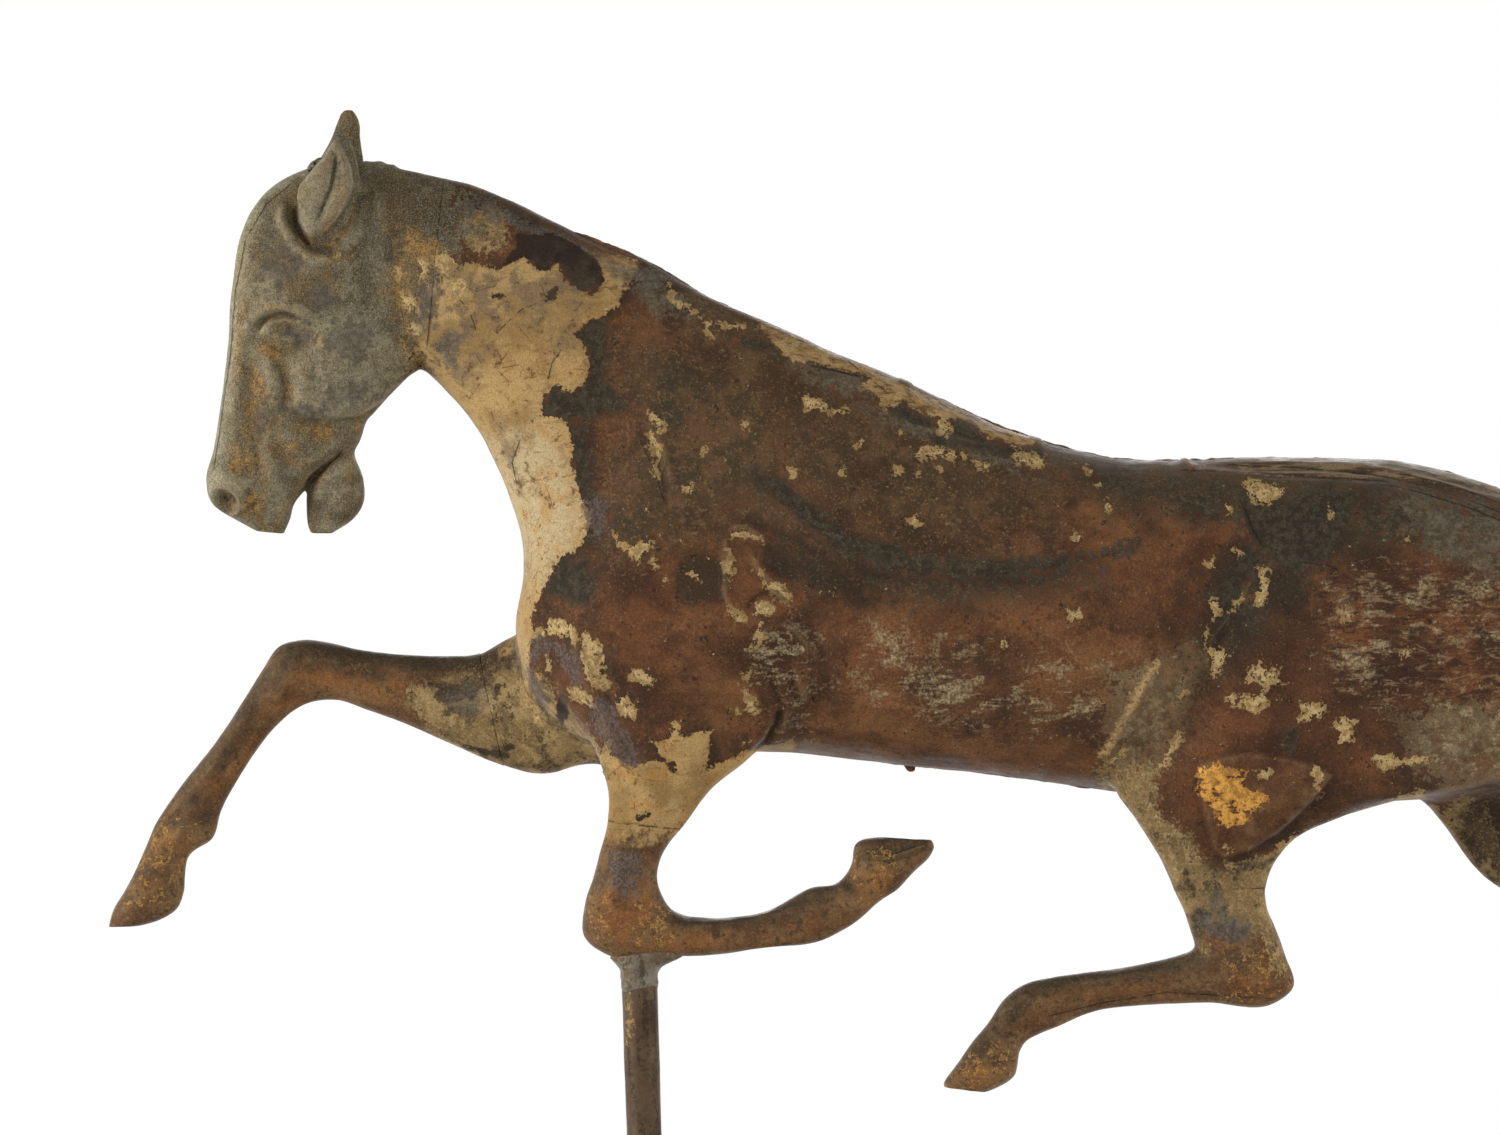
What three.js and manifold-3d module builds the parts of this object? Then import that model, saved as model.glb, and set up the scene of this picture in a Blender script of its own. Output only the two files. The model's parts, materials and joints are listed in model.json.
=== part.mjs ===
// A full-bodied trotting horse weathervane: a sheet-copper body stamped in two halves, a cast zinc
// head in two halves, soldered lower legs and tail, and a brass tube through the folded near
// foreleg. The tube hangs on the point of a steel spindle and turns with the wind. The spindle
// stands in a cast-iron flange that is screwed to a roof or post.
//
// Millimetres, +Z up, the horse faces -X and its near (left) side faces -Y. The origin is on the
// spin axis, at the underside of the flange.
import * as THREE from "three";
import { mergeVertices } from "three/addons/utils/BufferGeometryUtils.js";
import Module from "manifold-3d";

const wasm = await Module();
wasm.setup();

// Driving dimensions, in millimetres.
const HORSE_LENGTH = 838; // toe of the raised forefoot to the tip of the tail
const BODY_HALF_WIDTH = 50; // middle plane to the widest part of the barrel
const LEG_HALF_WIDTH = 25; // half the lateral width of a leg where it is thickest
const LEG_SPREAD = 20; // middle plane of the body to the middle plane of a leg
const TAIL_HALF_WIDTH = 11;
const EAR_HALF_WIDTH = 5;
const EAR_SPREAD = 11; // middle plane of the body to the middle plane of an ear
const COPPER_WALL = 1;
const ZINC_WALL = 2.4;

const SEAM_GAP = 0.3; // between any two pieces that meet
const OVERRUN = 2; // how far cutting solids run past what they cut
const HALF_SPACE = 2000; // edge of the boxes that stand for half of space
const THINNEST_HOLLOW_SHARE = 1.6; // half of a hollow leg's thickness over its wall, at the least
const ACROSS = new THREE.Vector3(0, 1, 0);

const TUBE_RADIUS = 7.9;
const TUBE_WALL = 1.5;
const TUBE_BELOW_KNEE = 150;
const TUBE_SIDES = 24;
const SPINDLE_RADIUS = 4.75;
const RUNNING_GAP = 0.3;
const SPINDLE_POINT_LENGTH = 7;
const SPINDLE_POINT_RADIUS = 1.2;
const BUSH_LENGTH = 20;
const BUSH_LIP = 2.5;
const CAP_LENGTH = 16;
const CAP_LIP = 3;
const FILLET_LENGTH = 12;
const FILLET_SPREAD = 9;

const FLANGE_RADIUS = 44;
const FLANGE_THICKNESS = 6;
const BOSS_RADIUS = 13;
const BOSS_HEIGHT = 26; // above the flange plate
const BOSS_TAPER = 3;
const SOCKET_FLOOR = 3; // iron left under the spindle's foot
const TUBE_OVER_BOSS = 10;
const SCREW_CIRCLE_RADIUS = 32;
const SCREW_COUNT = 4;
const SCREW_SHANK_RADIUS = 2.4;
const SCREW_HEAD_RADIUS = 4.8;
const SCREW_HEAD_HEIGHT = 2.8;
const SCREW_LENGTH = 32; // under the head
const SCREW_POINT_LENGTH = 8;
const SCREW_SLOT_WIDTH = 1.1;
const SCREW_SLOT_DEPTH = 1.2;
const SET_SCREW_RADIUS = 2.5;
const SET_SCREW_HEAD_RADIUS = 4.6;
const SET_SCREW_HEAD_LENGTH = 5;

const BRACE_THICKNESS = 1.6;
const BRACE_BREADTH = 30;
const SLEEVE_LENGTH = 14;
const SLEEVE_WALL = 1.2;
const BEAD_HALF_WIDTH = 2.2;
const BEAD_HEIGHT = 1;

const TRUNK_SIDES = 20;
const LIMB_SIDES = 10;
const EAR_SIDES = 8;
const BEAD_SIDES = 6;
const HEX_SIDES = 6;
const FILLET_SIDES = 6; // of the fillet's quarter round
const FLANGE_SIDES = 40;
const SCREW_SIDES = 12;
const TRUNK_ROUNDNESS = 2.15; // 2 is an ellipse, more is squarer
const LIMB_ROUNDNESS = 2.1;

// The side view was read off the photograph, in its pixels, and is carried past its right-hand
// edge. Each ring gives its two edge points there, and its half width as a share of the width
// that its body part is given above.
const PLACES_PX_SHARE = {
  toeX: 111,
  tailTipX: 1992,
  tubeX: 639.5, // the tube's axis, just under the knee
  tubeY: 972,
  spindleTipY: 640,
  upperBraceY: 668,
  lowerBraceY: 770,
};
const TUBE_LEAN_SHARE = 0.0312; // sideways over down: how far the tube leans in the photograph
const MM_PER_PX = HORSE_LENGTH / (PLACES_PX_SHARE.tailTipX - PLACES_PX_SHARE.toeX);

const HEAD_RINGS_PX_SHARE = [
  [257, 529, 284, 531, 0.12],
  [240, 517, 290, 516, 0.2],
  [216, 502, 295, 500, 0.27],
  [208, 482, 318, 478, 0.31],
  [214, 448, 356, 448, 0.31],
  [220, 408, 366, 424, 0.34],
  [227, 352, 373, 417, 0.38],
  [232, 292, 380, 409, 0.41],
  [243, 238, 389, 400, 0.41],
  [265, 197, 399, 391, 0.39],
  [308, 170, 408, 382, 0.36],
  [372, 167, 416, 375, 0.35],
];
const NECK_JOINT_RING_PX_SHARE = [445, 179, 425, 372, 0.35];
const BODY_RINGS_PX_SHARE = [
  [500, 197, 465, 413, 0.39],
  [570, 229, 494, 459, 0.46],
  [642, 258, 514, 512, 0.55],
  [712, 299, 522, 570, 0.66],
  [778, 328, 514, 632, 0.78],
  [845, 357, 530, 692, 0.88],
  [905, 382, 585, 740, 0.95],
  [965, 410, 680, 752, 0.97],
  [1035, 438, 790, 752, 1],
  [1100, 455, 900, 765, 1],
  [1165, 460, 1010, 777, 0.98],
  [1235, 458, 1115, 792, 0.95],
  [1310, 458, 1225, 800, 0.94],
  [1390, 461, 1330, 803, 0.95],
  [1460, 475, 1430, 800, 0.94],
  [1530, 504, 1520, 786, 0.87],
  [1590, 545, 1590, 752, 0.7],
  [1628, 592, 1632, 708, 0.46],
  [1641, 628, 1643, 672, 0.22],
];
const JAW_RINGS_PX_SHARE = [
  [322, 432, 360, 428, 0.2],
  [316, 462, 358, 452, 0.22],
  [308, 486, 364, 478, 0.2],
  [308, 506, 363, 502, 0.19],
  [309, 522, 350, 519, 0.15],
  [313, 530, 330, 531, 0.08],
];
const NEAR_FORELEG_RINGS_PX_SHARE = [
  [640, 520, 800, 520, 0.3],
  [590, 600, 800, 600, 0.75],
  [574, 650, 794, 652, 0.88],
  [574, 700, 788, 706, 0.88],
  [592, 752, 757, 756, 0.74],
  [607, 785, 716, 788, 0.6],
  [607, 826, 684, 829, 0.5],
  [600, 852, 666, 854, 0.47],
  [592, 880, 660, 880, 0.47],
  [584, 906, 665, 900, 0.5],
  [583, 936, 672, 909, 0.52],
  [610, 957, 684, 915, 0.5],
  [662, 958, 700, 917, 0.42],
  [720, 955, 722, 918, 0.35],
  [772, 947, 770, 911, 0.31],
  [822, 940, 812, 889, 0.33],
  [856, 922, 838, 884, 0.31],
  [882, 900, 853, 864, 0.31],
  [896, 889, 860, 846, 0.35],
  [913, 871, 880, 841, 0.35],
  [926, 855, 908, 839, 0.25],
  [931, 846, 926, 840, 0.12],
];
const FAR_FORELEG_RINGS_PX_SHARE = [
  [760, 560, 780, 730, 0.3],
  [680, 585, 700, 770, 0.6],
  [620, 608, 645, 774, 0.72],
  [560, 622, 590, 765, 0.72],
  [512, 634, 548, 771, 0.66],
  [478, 651, 502, 762, 0.56],
  [438, 653, 458, 744, 0.48],
  [398, 651, 412, 724, 0.43],
  [358, 647, 368, 708, 0.42],
  [324, 641, 336, 701, 0.43],
  [299, 640, 308, 704, 0.43],
  [279, 646, 293, 712, 0.42],
  [262, 670, 281, 722, 0.38],
  [234, 716, 266, 738, 0.33],
  [204, 758, 238, 780, 0.3],
  [177, 797, 221, 812, 0.33],
  [158, 825, 212, 839, 0.35],
  [146, 851, 194, 856, 0.31],
  [136, 873, 187, 877, 0.33],
  [125, 891, 184, 893, 0.37],
  [116, 906, 175, 909, 0.37],
  [112, 920, 156, 920, 0.3],
  [112, 925, 140, 923, 0.22],
];
const NEAR_HIND_LEG_RINGS_PX_SHARE = [
  [1200, 600, 1590, 590, 1.05],
  [1140, 700, 1606, 690, 1.06],
  [1114, 778, 1500, 784, 0.92],
  [1140, 822, 1370, 818, 0.74],
  [1160, 855, 1292, 850, 0.6],
  [1177, 888, 1268, 885, 0.5],
  [1187, 910, 1268, 907, 0.45],
  [1194, 931, 1276, 929, 0.43],
  [1196, 947, 1285, 957, 0.45],
  [1190, 953, 1294, 985, 0.45],
  [1180, 956, 1276, 1003, 0.42],
  [1160, 961, 1212, 1003, 0.37],
  [1130, 967, 1140, 1006, 0.31],
  [1086, 973, 1092, 1013, 0.3],
  [1050, 979, 1058, 1027, 0.32],
  [1026, 985, 1040, 1033, 0.33],
  [1006, 1000, 1026, 1040, 0.3],
  [990, 1024, 1018, 1052, 0.31],
  [972, 1045, 1016, 1066, 0.35],
  [957, 1066, 1013, 1076, 0.37],
  [945, 1082, 1001, 1085, 0.31],
  [944, 1088, 985, 1092, 0.22],
];
const FAR_HIND_LEG_RINGS_PX_SHARE = [
  [1300, 660, 1580, 560, 1.05],
  [1385, 765, 1638, 630, 0.98],
  [1440, 812, 1648, 700, 0.82],
  [1493, 877, 1652, 765, 0.64],
  [1545, 912, 1670, 815, 0.52],
  [1597, 938, 1699, 850, 0.46],
  [1648, 959, 1737, 868, 0.46],
  [1692, 974, 1762, 905, 0.4],
  [1738, 991, 1786, 938, 0.33],
  [1785, 1011, 1821, 964, 0.3],
  [1826, 1034, 1866, 983, 0.33],
  [1849, 1052, 1890, 1012, 0.31],
  [1866, 1070, 1915, 1034, 0.35],
  [1886, 1091, 1938, 1052, 0.37],
  [1908, 1109, 1946, 1080, 0.3],
  [1922, 1116, 1942, 1101, 0.2],
];
const TAIL_RINGS_PX_SHARE = [
  [1575, 552, 1590, 650, 0.85],
  [1612, 534, 1630, 610, 0.9],
  [1662, 520, 1668, 592, 1],
  [1722, 524, 1712, 612, 1.05],
  [1786, 548, 1762, 642, 1.05],
  [1850, 586, 1816, 680, 1],
  [1910, 632, 1876, 712, 0.85],
  [1960, 684, 1936, 740, 0.6],
  [1992, 732, 1980, 758, 0.3],
];
const NEAR_EAR_RINGS_PX_SHARE = [
  [300, 250, 352, 252, 1],
  [300, 214, 359, 222, 1.05],
  [308, 186, 360, 190, 0.95],
  [322, 158, 357, 162, 0.65],
  [338, 139, 351, 141, 0.3],
];
const FAR_EAR_RINGS_PX_SHARE = [
  [300, 235, 352, 240, 1],
  [305, 190, 360, 196, 1.05],
  [320, 160, 361, 164, 0.95],
  [333, 132, 361, 135, 0.7],
  [342, 112, 355, 114, 0.35],
];

// How many rings of each leg belong to the stub on the body halves, above its solder joint.
const NEAR_FORELEG_STUB_COUNT = 6;
const FAR_FORELEG_STUB_COUNT = 5;
const NEAR_HIND_LEG_STUB_COUNT = 5;
const FAR_HIND_LEG_STUB_COUNT = 4;

// Body rings that the solder beads leave out, or follow.
const BELLY_BEAD_SKIP_COUNT = 8;
const BELLY_BEAD_COUNT = 4;
const SPINE_BEAD_SKIP_COUNT = 3; // at the rump

// Places that follow from the dimensions above.
const MIDDLE_Y = LEG_SPREAD; // the tube runs in the near foreleg, so the seam plane lies behind it
const TUBE_BORE = TUBE_RADIUS - TUBE_WALL;
const BOSS_TOP = FLANGE_THICKNESS + BOSS_HEIGHT;
const TUBE_BOTTOM = BOSS_TOP + TUBE_OVER_BOSS + BUSH_LIP + SEAM_GAP;
const KNEE_Z = TUBE_BOTTOM + TUBE_BELOW_KNEE;
const LEAN = Math.atan(TUBE_LEAN_SHARE);

// A point of the photograph in the horse's middle plane, turned so that the tube stands upright.
function atPixel(x, y, side) {
  const right = x - PLACES_PX_SHARE.tubeX;
  const down = y - PLACES_PX_SHARE.tubeY;
  return new THREE.Vector3(
    MM_PER_PX * (right * Math.cos(LEAN) - down * Math.sin(LEAN)),
    side,
    KNEE_Z - MM_PER_PX * (right * Math.sin(LEAN) + down * Math.cos(LEAN)),
  );
}

const SPINDLE_TIP = atPixel(PLACES_PX_SHARE.tubeX, PLACES_PX_SHARE.spindleTipY, 0).z;

const copper = new THREE.MeshStandardMaterial({ color: 0x5a3422, roughness: 0.62, metalness: 0.35 });
const zinc = new THREE.MeshStandardMaterial({ color: 0x6b685c, roughness: 0.7, metalness: 0.3 });
const solder = new THREE.MeshStandardMaterial({ color: 0x7d7e7a, roughness: 0.5, metalness: 0.6 });
const brass = new THREE.MeshStandardMaterial({ color: 0x6b5636, roughness: 0.5, metalness: 0.7 });
const steel = new THREE.MeshStandardMaterial({ color: 0x55524e, roughness: 0.45, metalness: 0.8 });
const iron = new THREE.MeshStandardMaterial({ color: 0x2e2b29, roughness: 0.75, metalness: 0.5 });

// Solids and meshes.

function solidFrom(geometry) {
  const bare = geometry.clone();
  bare.deleteAttribute("normal");
  bare.deleteAttribute("uv");
  const merged = mergeVertices(bare);
  return new wasm.Manifold(
    new wasm.Mesh({
      numProp: 3,
      vertProperties: merged.attributes.position.array,
      triVerts: new Uint32Array(merged.index.array),
    }),
  );
}

function meshFrom(name, solid, material) {
  const made = solid.getMesh();
  const corners = new Float32Array(made.numVert * 3);
  for (let i = 0; i < made.numVert; i++) {
    const start = i * made.numProp;
    corners.set(made.vertProperties.subarray(start, start + 3), i * 3);
  }
  const geometry = new THREE.BufferGeometry();
  geometry.setAttribute("position", new THREE.BufferAttribute(corners, 3));
  geometry.setIndex(new THREE.BufferAttribute(new Uint32Array(made.triVerts), 1));
  geometry.computeVertexNormals();
  const mesh = new THREE.Mesh(geometry, material);
  mesh.name = name;
  return mesh;
}

// The largest solid of several: a cut can leave a loose sliver.
function largest(solid) {
  const bodies = solid.decompose();
  return bodies.reduce((best, body) => (body.volume() > best.volume() ? body : best));
}

function unionOf(solids) {
  return solids.reduce((all, solid) => all.add(solid));
}

// Rings and lofts. A ring spans two edge points and has a half width across the horse.

function ringFrom([frontX, frontY, backX, backY, share], halfWidth, side, wall) {
  return {
    front: atPixel(frontX, frontY, side),
    back: atPixel(backX, backY, side),
    halfWidth: share * halfWidth,
    wall,
  };
}

function ringsFrom(table, halfWidth, side, wall) {
  return table.map((row) => ringFrom(row, halfWidth, side, wall));
}

function ringMiddle(ring) {
  return ring.front.clone().add(ring.back).multiplyScalar(0.5);
}

function movedRing(ring, shift) {
  return { ...ring, front: ring.front.clone().add(shift), back: ring.back.clone().add(shift) };
}

// The step from an end ring to its neighbour, at a given length.
function stepInward(end, neighbour, length) {
  return ringMiddle(neighbour).sub(ringMiddle(end)).setLength(length);
}

function ringPoints(ring, inset, sides, roundness) {
  const middle = ringMiddle(ring);
  const half = ring.front.clone().sub(middle);
  half.setLength(half.length() - inset);
  const width = ring.halfWidth - inset;
  const points = [];
  for (let i = 0; i < sides; i++) {
    const angle = (2 * Math.PI * i) / sides;
    const along = Math.sign(Math.cos(angle)) * Math.abs(Math.cos(angle)) ** (2 / roundness);
    const across = Math.sign(Math.sin(angle)) * Math.abs(Math.sin(angle)) ** (2 / roundness);
    const point = middle.clone().addScaledVector(half, along);
    point.y += width * across;
    points.push(point);
  }
  return points;
}

function signedVolume(points, triangles) {
  let six = 0;
  for (const [a, b, c] of triangles) {
    six += points[a].dot(points[b].clone().cross(points[c]));
  }
  return six / 6;
}

// A closed solid through rings of points, with a fan over each end.
function loft(loops) {
  const sides = loops[0].length;
  const points = loops.flat();
  const triangles = [];
  for (let r = 0; r + 1 < loops.length; r++) {
    for (let i = 0; i < sides; i++) {
      const here = r * sides + i;
      const next = r * sides + ((i + 1) % sides);
      triangles.push([here, next, next + sides], [here, next + sides, here + sides]);
    }
  }
  const last = (loops.length - 1) * sides;
  const firstHub = points.push(middleOf(loops[0])) - 1;
  const lastHub = points.push(middleOf(loops.at(-1))) - 1;
  for (let i = 0; i < sides; i++) {
    const next = (i + 1) % sides;
    triangles.push([firstHub, next, i], [lastHub, last + i, last + next]);
  }
  if (signedVolume(points, triangles) < 0) triangles.forEach((triangle) => triangle.reverse());
  const geometry = new THREE.BufferGeometry().setFromPoints(points);
  geometry.setIndex(triangles.flat());
  return solidFrom(geometry);
}

function middleOf(loop) {
  return loop.reduce((sum, p) => sum.add(p), new THREE.Vector3()).divideScalar(loop.length);
}

function outerLoft(rings, sides, roundness, growth = 0) {
  return loft(rings.map((ring) => ringPoints(ring, -growth, sides, roundness)));
}

// The hollow inside a loft, which stops short of ends too thin to be hollow.
function hollowLoft(rings, sides, roundness, extra = 0) {
  const used = rings.filter((ring) => {
    const need = THINNEST_HOLLOW_SHARE * ring.wall;
    return ring.halfWidth > need && ring.front.distanceTo(ring.back) / 2 > need;
  });
  const first = used[0];
  const last = used.at(-1);
  used[0] = movedRing(first, stepInward(first, used[1], first.wall + extra));
  used[used.length - 1] = movedRing(last, stepInward(last, used.at(-2), last.wall + extra));
  return loft(used.map((ring) => ringPoints(ring, ring.wall + extra, sides, roundness)));
}

// Half of space on one side of an upright plane that lies along the horse.
function besideY(y, sign) {
  const box = new THREE.BoxGeometry(HALF_SPACE, HALF_SPACE, HALF_SPACE);
  box.translate(0, y + (sign * HALF_SPACE) / 2, 0);
  return solidFrom(box);
}

// Half of space beyond the plane of a ring, on the side where a given point lies.
function beyondRing(ring, towards, shift) {
  const normal = ring.front.clone().sub(ring.back).cross(ACROSS).normalize();
  if (normal.dot(towards.clone().sub(ringMiddle(ring))) < 0) normal.negate();
  const start = ringMiddle(ring).addScaledVector(normal, shift);
  const box = new THREE.BoxGeometry(HALF_SPACE, HALF_SPACE, HALF_SPACE);
  box.translate(HALF_SPACE / 2, 0, 0);
  box.rotateY(Math.atan2(-normal.z, normal.x));
  box.translate(start.x, start.y, start.z);
  return solidFrom(box);
}

// Round pieces about a vertical axis, from [radius, height] pairs.
function turned(profile, sides) {
  const outline = profile.map(([radius, height]) => new THREE.Vector2(radius, height));
  const geometry = new THREE.LatheGeometry(outline, sides);
  geometry.rotateX(Math.PI / 2);
  return solidFrom(geometry);
}

function tubeCut() {
  const radius = TUBE_RADIUS + SEAM_GAP;
  const bottom = TUBE_BOTTOM - OVERRUN;
  const top = SPINDLE_TIP + CAP_LENGTH + OVERRUN;
  return turned([[0, bottom], [radius, bottom], [radius, top], [0, top]], TUBE_SIDES);
}

// The horse's rings, in millimetres.

const nearLegSide = MIDDLE_Y - LEG_SPREAD;
const farLegSide = MIDDLE_Y + LEG_SPREAD;
const jointRing = ringFrom(NECK_JOINT_RING_PX_SHARE, BODY_HALF_WIDTH, MIDDLE_Y, COPPER_WALL);
const headRings = ringsFrom(HEAD_RINGS_PX_SHARE, BODY_HALF_WIDTH, MIDDLE_Y, ZINC_WALL);
const bodyRings = ringsFrom(BODY_RINGS_PX_SHARE, BODY_HALF_WIDTH, MIDDLE_Y, COPPER_WALL);
const trunkRings = [...headRings, { ...jointRing, wall: ZINC_WALL }, ...bodyRings];
const jawRings = ringsFrom(JAW_RINGS_PX_SHARE, BODY_HALF_WIDTH, MIDDLE_Y, ZINC_WALL);
const tailRings = ringsFrom(TAIL_RINGS_PX_SHARE, TAIL_HALF_WIDTH, MIDDLE_Y, COPPER_WALL);

const legs = [
  {
    name: "near_foreleg",
    rings: ringsFrom(NEAR_FORELEG_RINGS_PX_SHARE, LEG_HALF_WIDTH, nearLegSide, COPPER_WALL),
    stubCount: NEAR_FORELEG_STUB_COUNT,
    side: nearLegSide,
  },
  {
    name: "far_foreleg",
    rings: ringsFrom(FAR_FORELEG_RINGS_PX_SHARE, LEG_HALF_WIDTH, farLegSide, COPPER_WALL),
    stubCount: FAR_FORELEG_STUB_COUNT,
    side: farLegSide,
  },
  {
    name: "near_hind_leg",
    rings: ringsFrom(NEAR_HIND_LEG_RINGS_PX_SHARE, LEG_HALF_WIDTH, nearLegSide, COPPER_WALL),
    stubCount: NEAR_HIND_LEG_STUB_COUNT,
    side: nearLegSide,
  },
  {
    name: "far_hind_leg",
    rings: ringsFrom(FAR_HIND_LEG_RINGS_PX_SHARE, LEG_HALF_WIDTH, farLegSide, COPPER_WALL),
    stubCount: FAR_HIND_LEG_STUB_COUNT,
    side: farLegSide,
  },
];

// Each leg is lofted whole, and cut at its joint: the stub above belongs to the body halves.

for (const leg of legs) {
  leg.jointRing = leg.rings[leg.stubCount];
  leg.hip = ringMiddle(leg.rings[leg.stubCount - 1]);
  leg.foot = ringMiddle(leg.rings[leg.stubCount + 1]);
  leg.skin = outerLoft(leg.rings, LIMB_SIDES, LIMB_ROUNDNESS);
  leg.stub = leg.skin.intersect(beyondRing(leg.jointRing, leg.hip, SEAM_GAP / 2));
}

function bodyHollow(extra = 0) {
  const trunk = hollowLoft(trunkRings, TRUNK_SIDES, TRUNK_ROUNDNESS, extra);
  return unionOf([trunk, ...legs.map((leg) => hollowLoft(leg.rings, LIMB_SIDES, LIMB_ROUNDNESS, extra))]);
}

function ear(table, spread) {
  const rings = ringsFrom(table, EAR_HALF_WIDTH, MIDDLE_Y + spread, ZINC_WALL);
  return outerLoft(rings, EAR_SIDES, LIMB_ROUNDNESS);
}

const trunkSkin = outerLoft(trunkRings, TRUNK_SIDES, TRUNK_ROUNDNESS);
const jawSkin = outerLoft(jawRings, LIMB_SIDES, LIMB_ROUNDNESS);
const ears = [ear(NEAR_EAR_RINGS_PX_SHARE, -EAR_SPREAD), ear(FAR_EAR_RINGS_PX_SHARE, EAR_SPREAD)];
const horseSkin = unionOf([trunkSkin, jawSkin, ...ears, ...legs.map((leg) => leg.stub)]);
const horseShell = horseSkin.subtract(bodyHollow()).subtract(tubeCut());

const muzzle = ringMiddle(headRings[0]);
const rump = ringMiddle(bodyRings.at(-1));
const headShell = horseShell.intersect(beyondRing(jointRing, muzzle, SEAM_GAP / 2));
const bodyShell = horseShell.intersect(beyondRing(jointRing, rump, SEAM_GAP / 2));
const nearHalf = besideY(MIDDLE_Y - SEAM_GAP / 2, -1);
const farHalf = besideY(MIDDLE_Y + SEAM_GAP / 2, 1);

const horse = new THREE.Group();

function addPiece(name, solid, material) {
  horse.add(meshFrom(name, largest(solid), material));
}

addPiece("body_shell_near", bodyShell.intersect(nearHalf), copper);
addPiece("body_shell_far", bodyShell.intersect(farHalf), copper);
addPiece("head_casting_near", headShell.intersect(nearHalf), zinc);
addPiece("head_casting_far", headShell.intersect(farHalf), zinc);

// A lap sleeve inside a soldered joint: a short band with a wall of its own, lying in the hollow.
function lapSleeve(ring, towards, hollowAt) {
  const start = beyondRing(ring, towards, -SLEEVE_LENGTH / 2);
  const end = beyondRing(ring, towards, SLEEVE_LENGTH / 2);
  const band = start.subtract(end);
  return hollowAt(SEAM_GAP).intersect(band).subtract(hollowAt(SEAM_GAP + SLEEVE_WALL));
}

const neckHollow = (extra) => hollowLoft(trunkRings, TRUNK_SIDES, TRUNK_ROUNDNESS, extra);
addPiece("neck_sleeve", lapSleeve(jointRing, rump, neckHollow), copper);

// Lower legs: two stamped halves each, with a lap sleeve in the joint above.
function addLowerLeg(leg) {
  const legHollow = (extra) => hollowLoft(leg.rings, LIMB_SIDES, LIMB_ROUNDNESS, extra);
  const shell = leg.skin
    .intersect(beyondRing(leg.jointRing, leg.foot, SEAM_GAP / 2))
    .subtract(legHollow(0))
    .subtract(tubeCut());
  const outward = Math.sign(leg.side - MIDDLE_Y);
  const outer = besideY(leg.side + (outward * SEAM_GAP) / 2, outward);
  const inner = besideY(leg.side - (outward * SEAM_GAP) / 2, -outward);
  addPiece(leg.name + "_outer", shell.intersect(outer), copper);
  addPiece(leg.name + "_inner", shell.intersect(inner), copper);
  const sleeve = lapSleeve(leg.jointRing, leg.foot, legHollow).subtract(tubeCut());
  addPiece(leg.name + "_sleeve", sleeve, copper);
}

legs.forEach(addLowerLeg);

// The tail: two stamped halves, butted on the rump.
const rumpCut = outerLoft(trunkRings, TRUNK_SIDES, TRUNK_ROUNDNESS, SEAM_GAP);
const tailShell = outerLoft(tailRings, LIMB_SIDES, LIMB_ROUNDNESS)
  .subtract(hollowLoft(tailRings, LIMB_SIDES, LIMB_ROUNDNESS))
  .subtract(rumpCut);
addPiece("tail_near", tailShell.intersect(nearHalf), copper);
addPiece("tail_far", tailShell.intersect(farHalf), copper);

// Solder beads along the seam of the two body halves.
function seamBead(edge, outwardFrom) {
  const loops = edge.map((point, i) => {
    const before = edge[Math.max(i - 1, 0)];
    const after = edge[Math.min(i + 1, edge.length - 1)];
    const outward = after.clone().sub(before).cross(ACROSS).normalize();
    if (outward.dot(point.clone().sub(outwardFrom[i])) < 0) outward.negate();
    const ring = {
      front: point.clone().addScaledVector(outward, SEAM_GAP + BEAD_HEIGHT),
      back: point.clone().addScaledVector(outward, SEAM_GAP),
      halfWidth: BEAD_HALF_WIDTH,
    };
    return ringPoints(ring, 0, BEAD_SIDES, LIMB_ROUNDNESS);
  });
  return loft(loops);
}

function addSeamBead(name, rings, edge) {
  addPiece(name, seamBead(rings.map((ring) => ring[edge]), rings.map(ringMiddle)), solder);
}

const afterBelly = BELLY_BEAD_SKIP_COUNT + BELLY_BEAD_COUNT;
addSeamBead("spine_seam_bead", [jointRing, ...bodyRings.slice(0, -SPINE_BEAD_SKIP_COUNT)], "front");
addSeamBead("belly_seam_bead", bodyRings.slice(BELLY_BEAD_SKIP_COUNT, afterBelly), "back");

// The tube and its bearings.

const tube = turned(
  [
    [TUBE_BORE, TUBE_BOTTOM],
    [TUBE_RADIUS, TUBE_BOTTOM],
    [TUBE_RADIUS, SPINDLE_TIP],
    [TUBE_BORE, SPINDLE_TIP],
    [TUBE_BORE, TUBE_BOTTOM],
  ],
  TUBE_SIDES,
);
addPiece("vane_tube", tube, brass);

// A plug in the top of the tube. Its cone rides on the spindle's point.
function pivotCap() {
  const lipBottom = SPINDLE_TIP + SEAM_GAP;
  const coneDepth = SPINDLE_POINT_LENGTH;
  const mouth = SPINDLE_RADIUS;
  const plugBottom = SPINDLE_TIP + CAP_LIP - CAP_LENGTH;
  const plug = TUBE_BORE - SEAM_GAP;
  return turned(
    [
      [mouth, plugBottom],
      [plug, plugBottom],
      [plug, lipBottom],
      [TUBE_RADIUS, lipBottom],
      [TUBE_RADIUS, lipBottom + CAP_LIP],
      [0, lipBottom + CAP_LIP],
      [0, plugBottom + coneDepth],
      [SPINDLE_POINT_RADIUS, plugBottom + coneDepth],
      [mouth, plugBottom],
    ],
    TUBE_SIDES,
  );
}
addPiece("pivot_cap", pivotCap(), brass);

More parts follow.
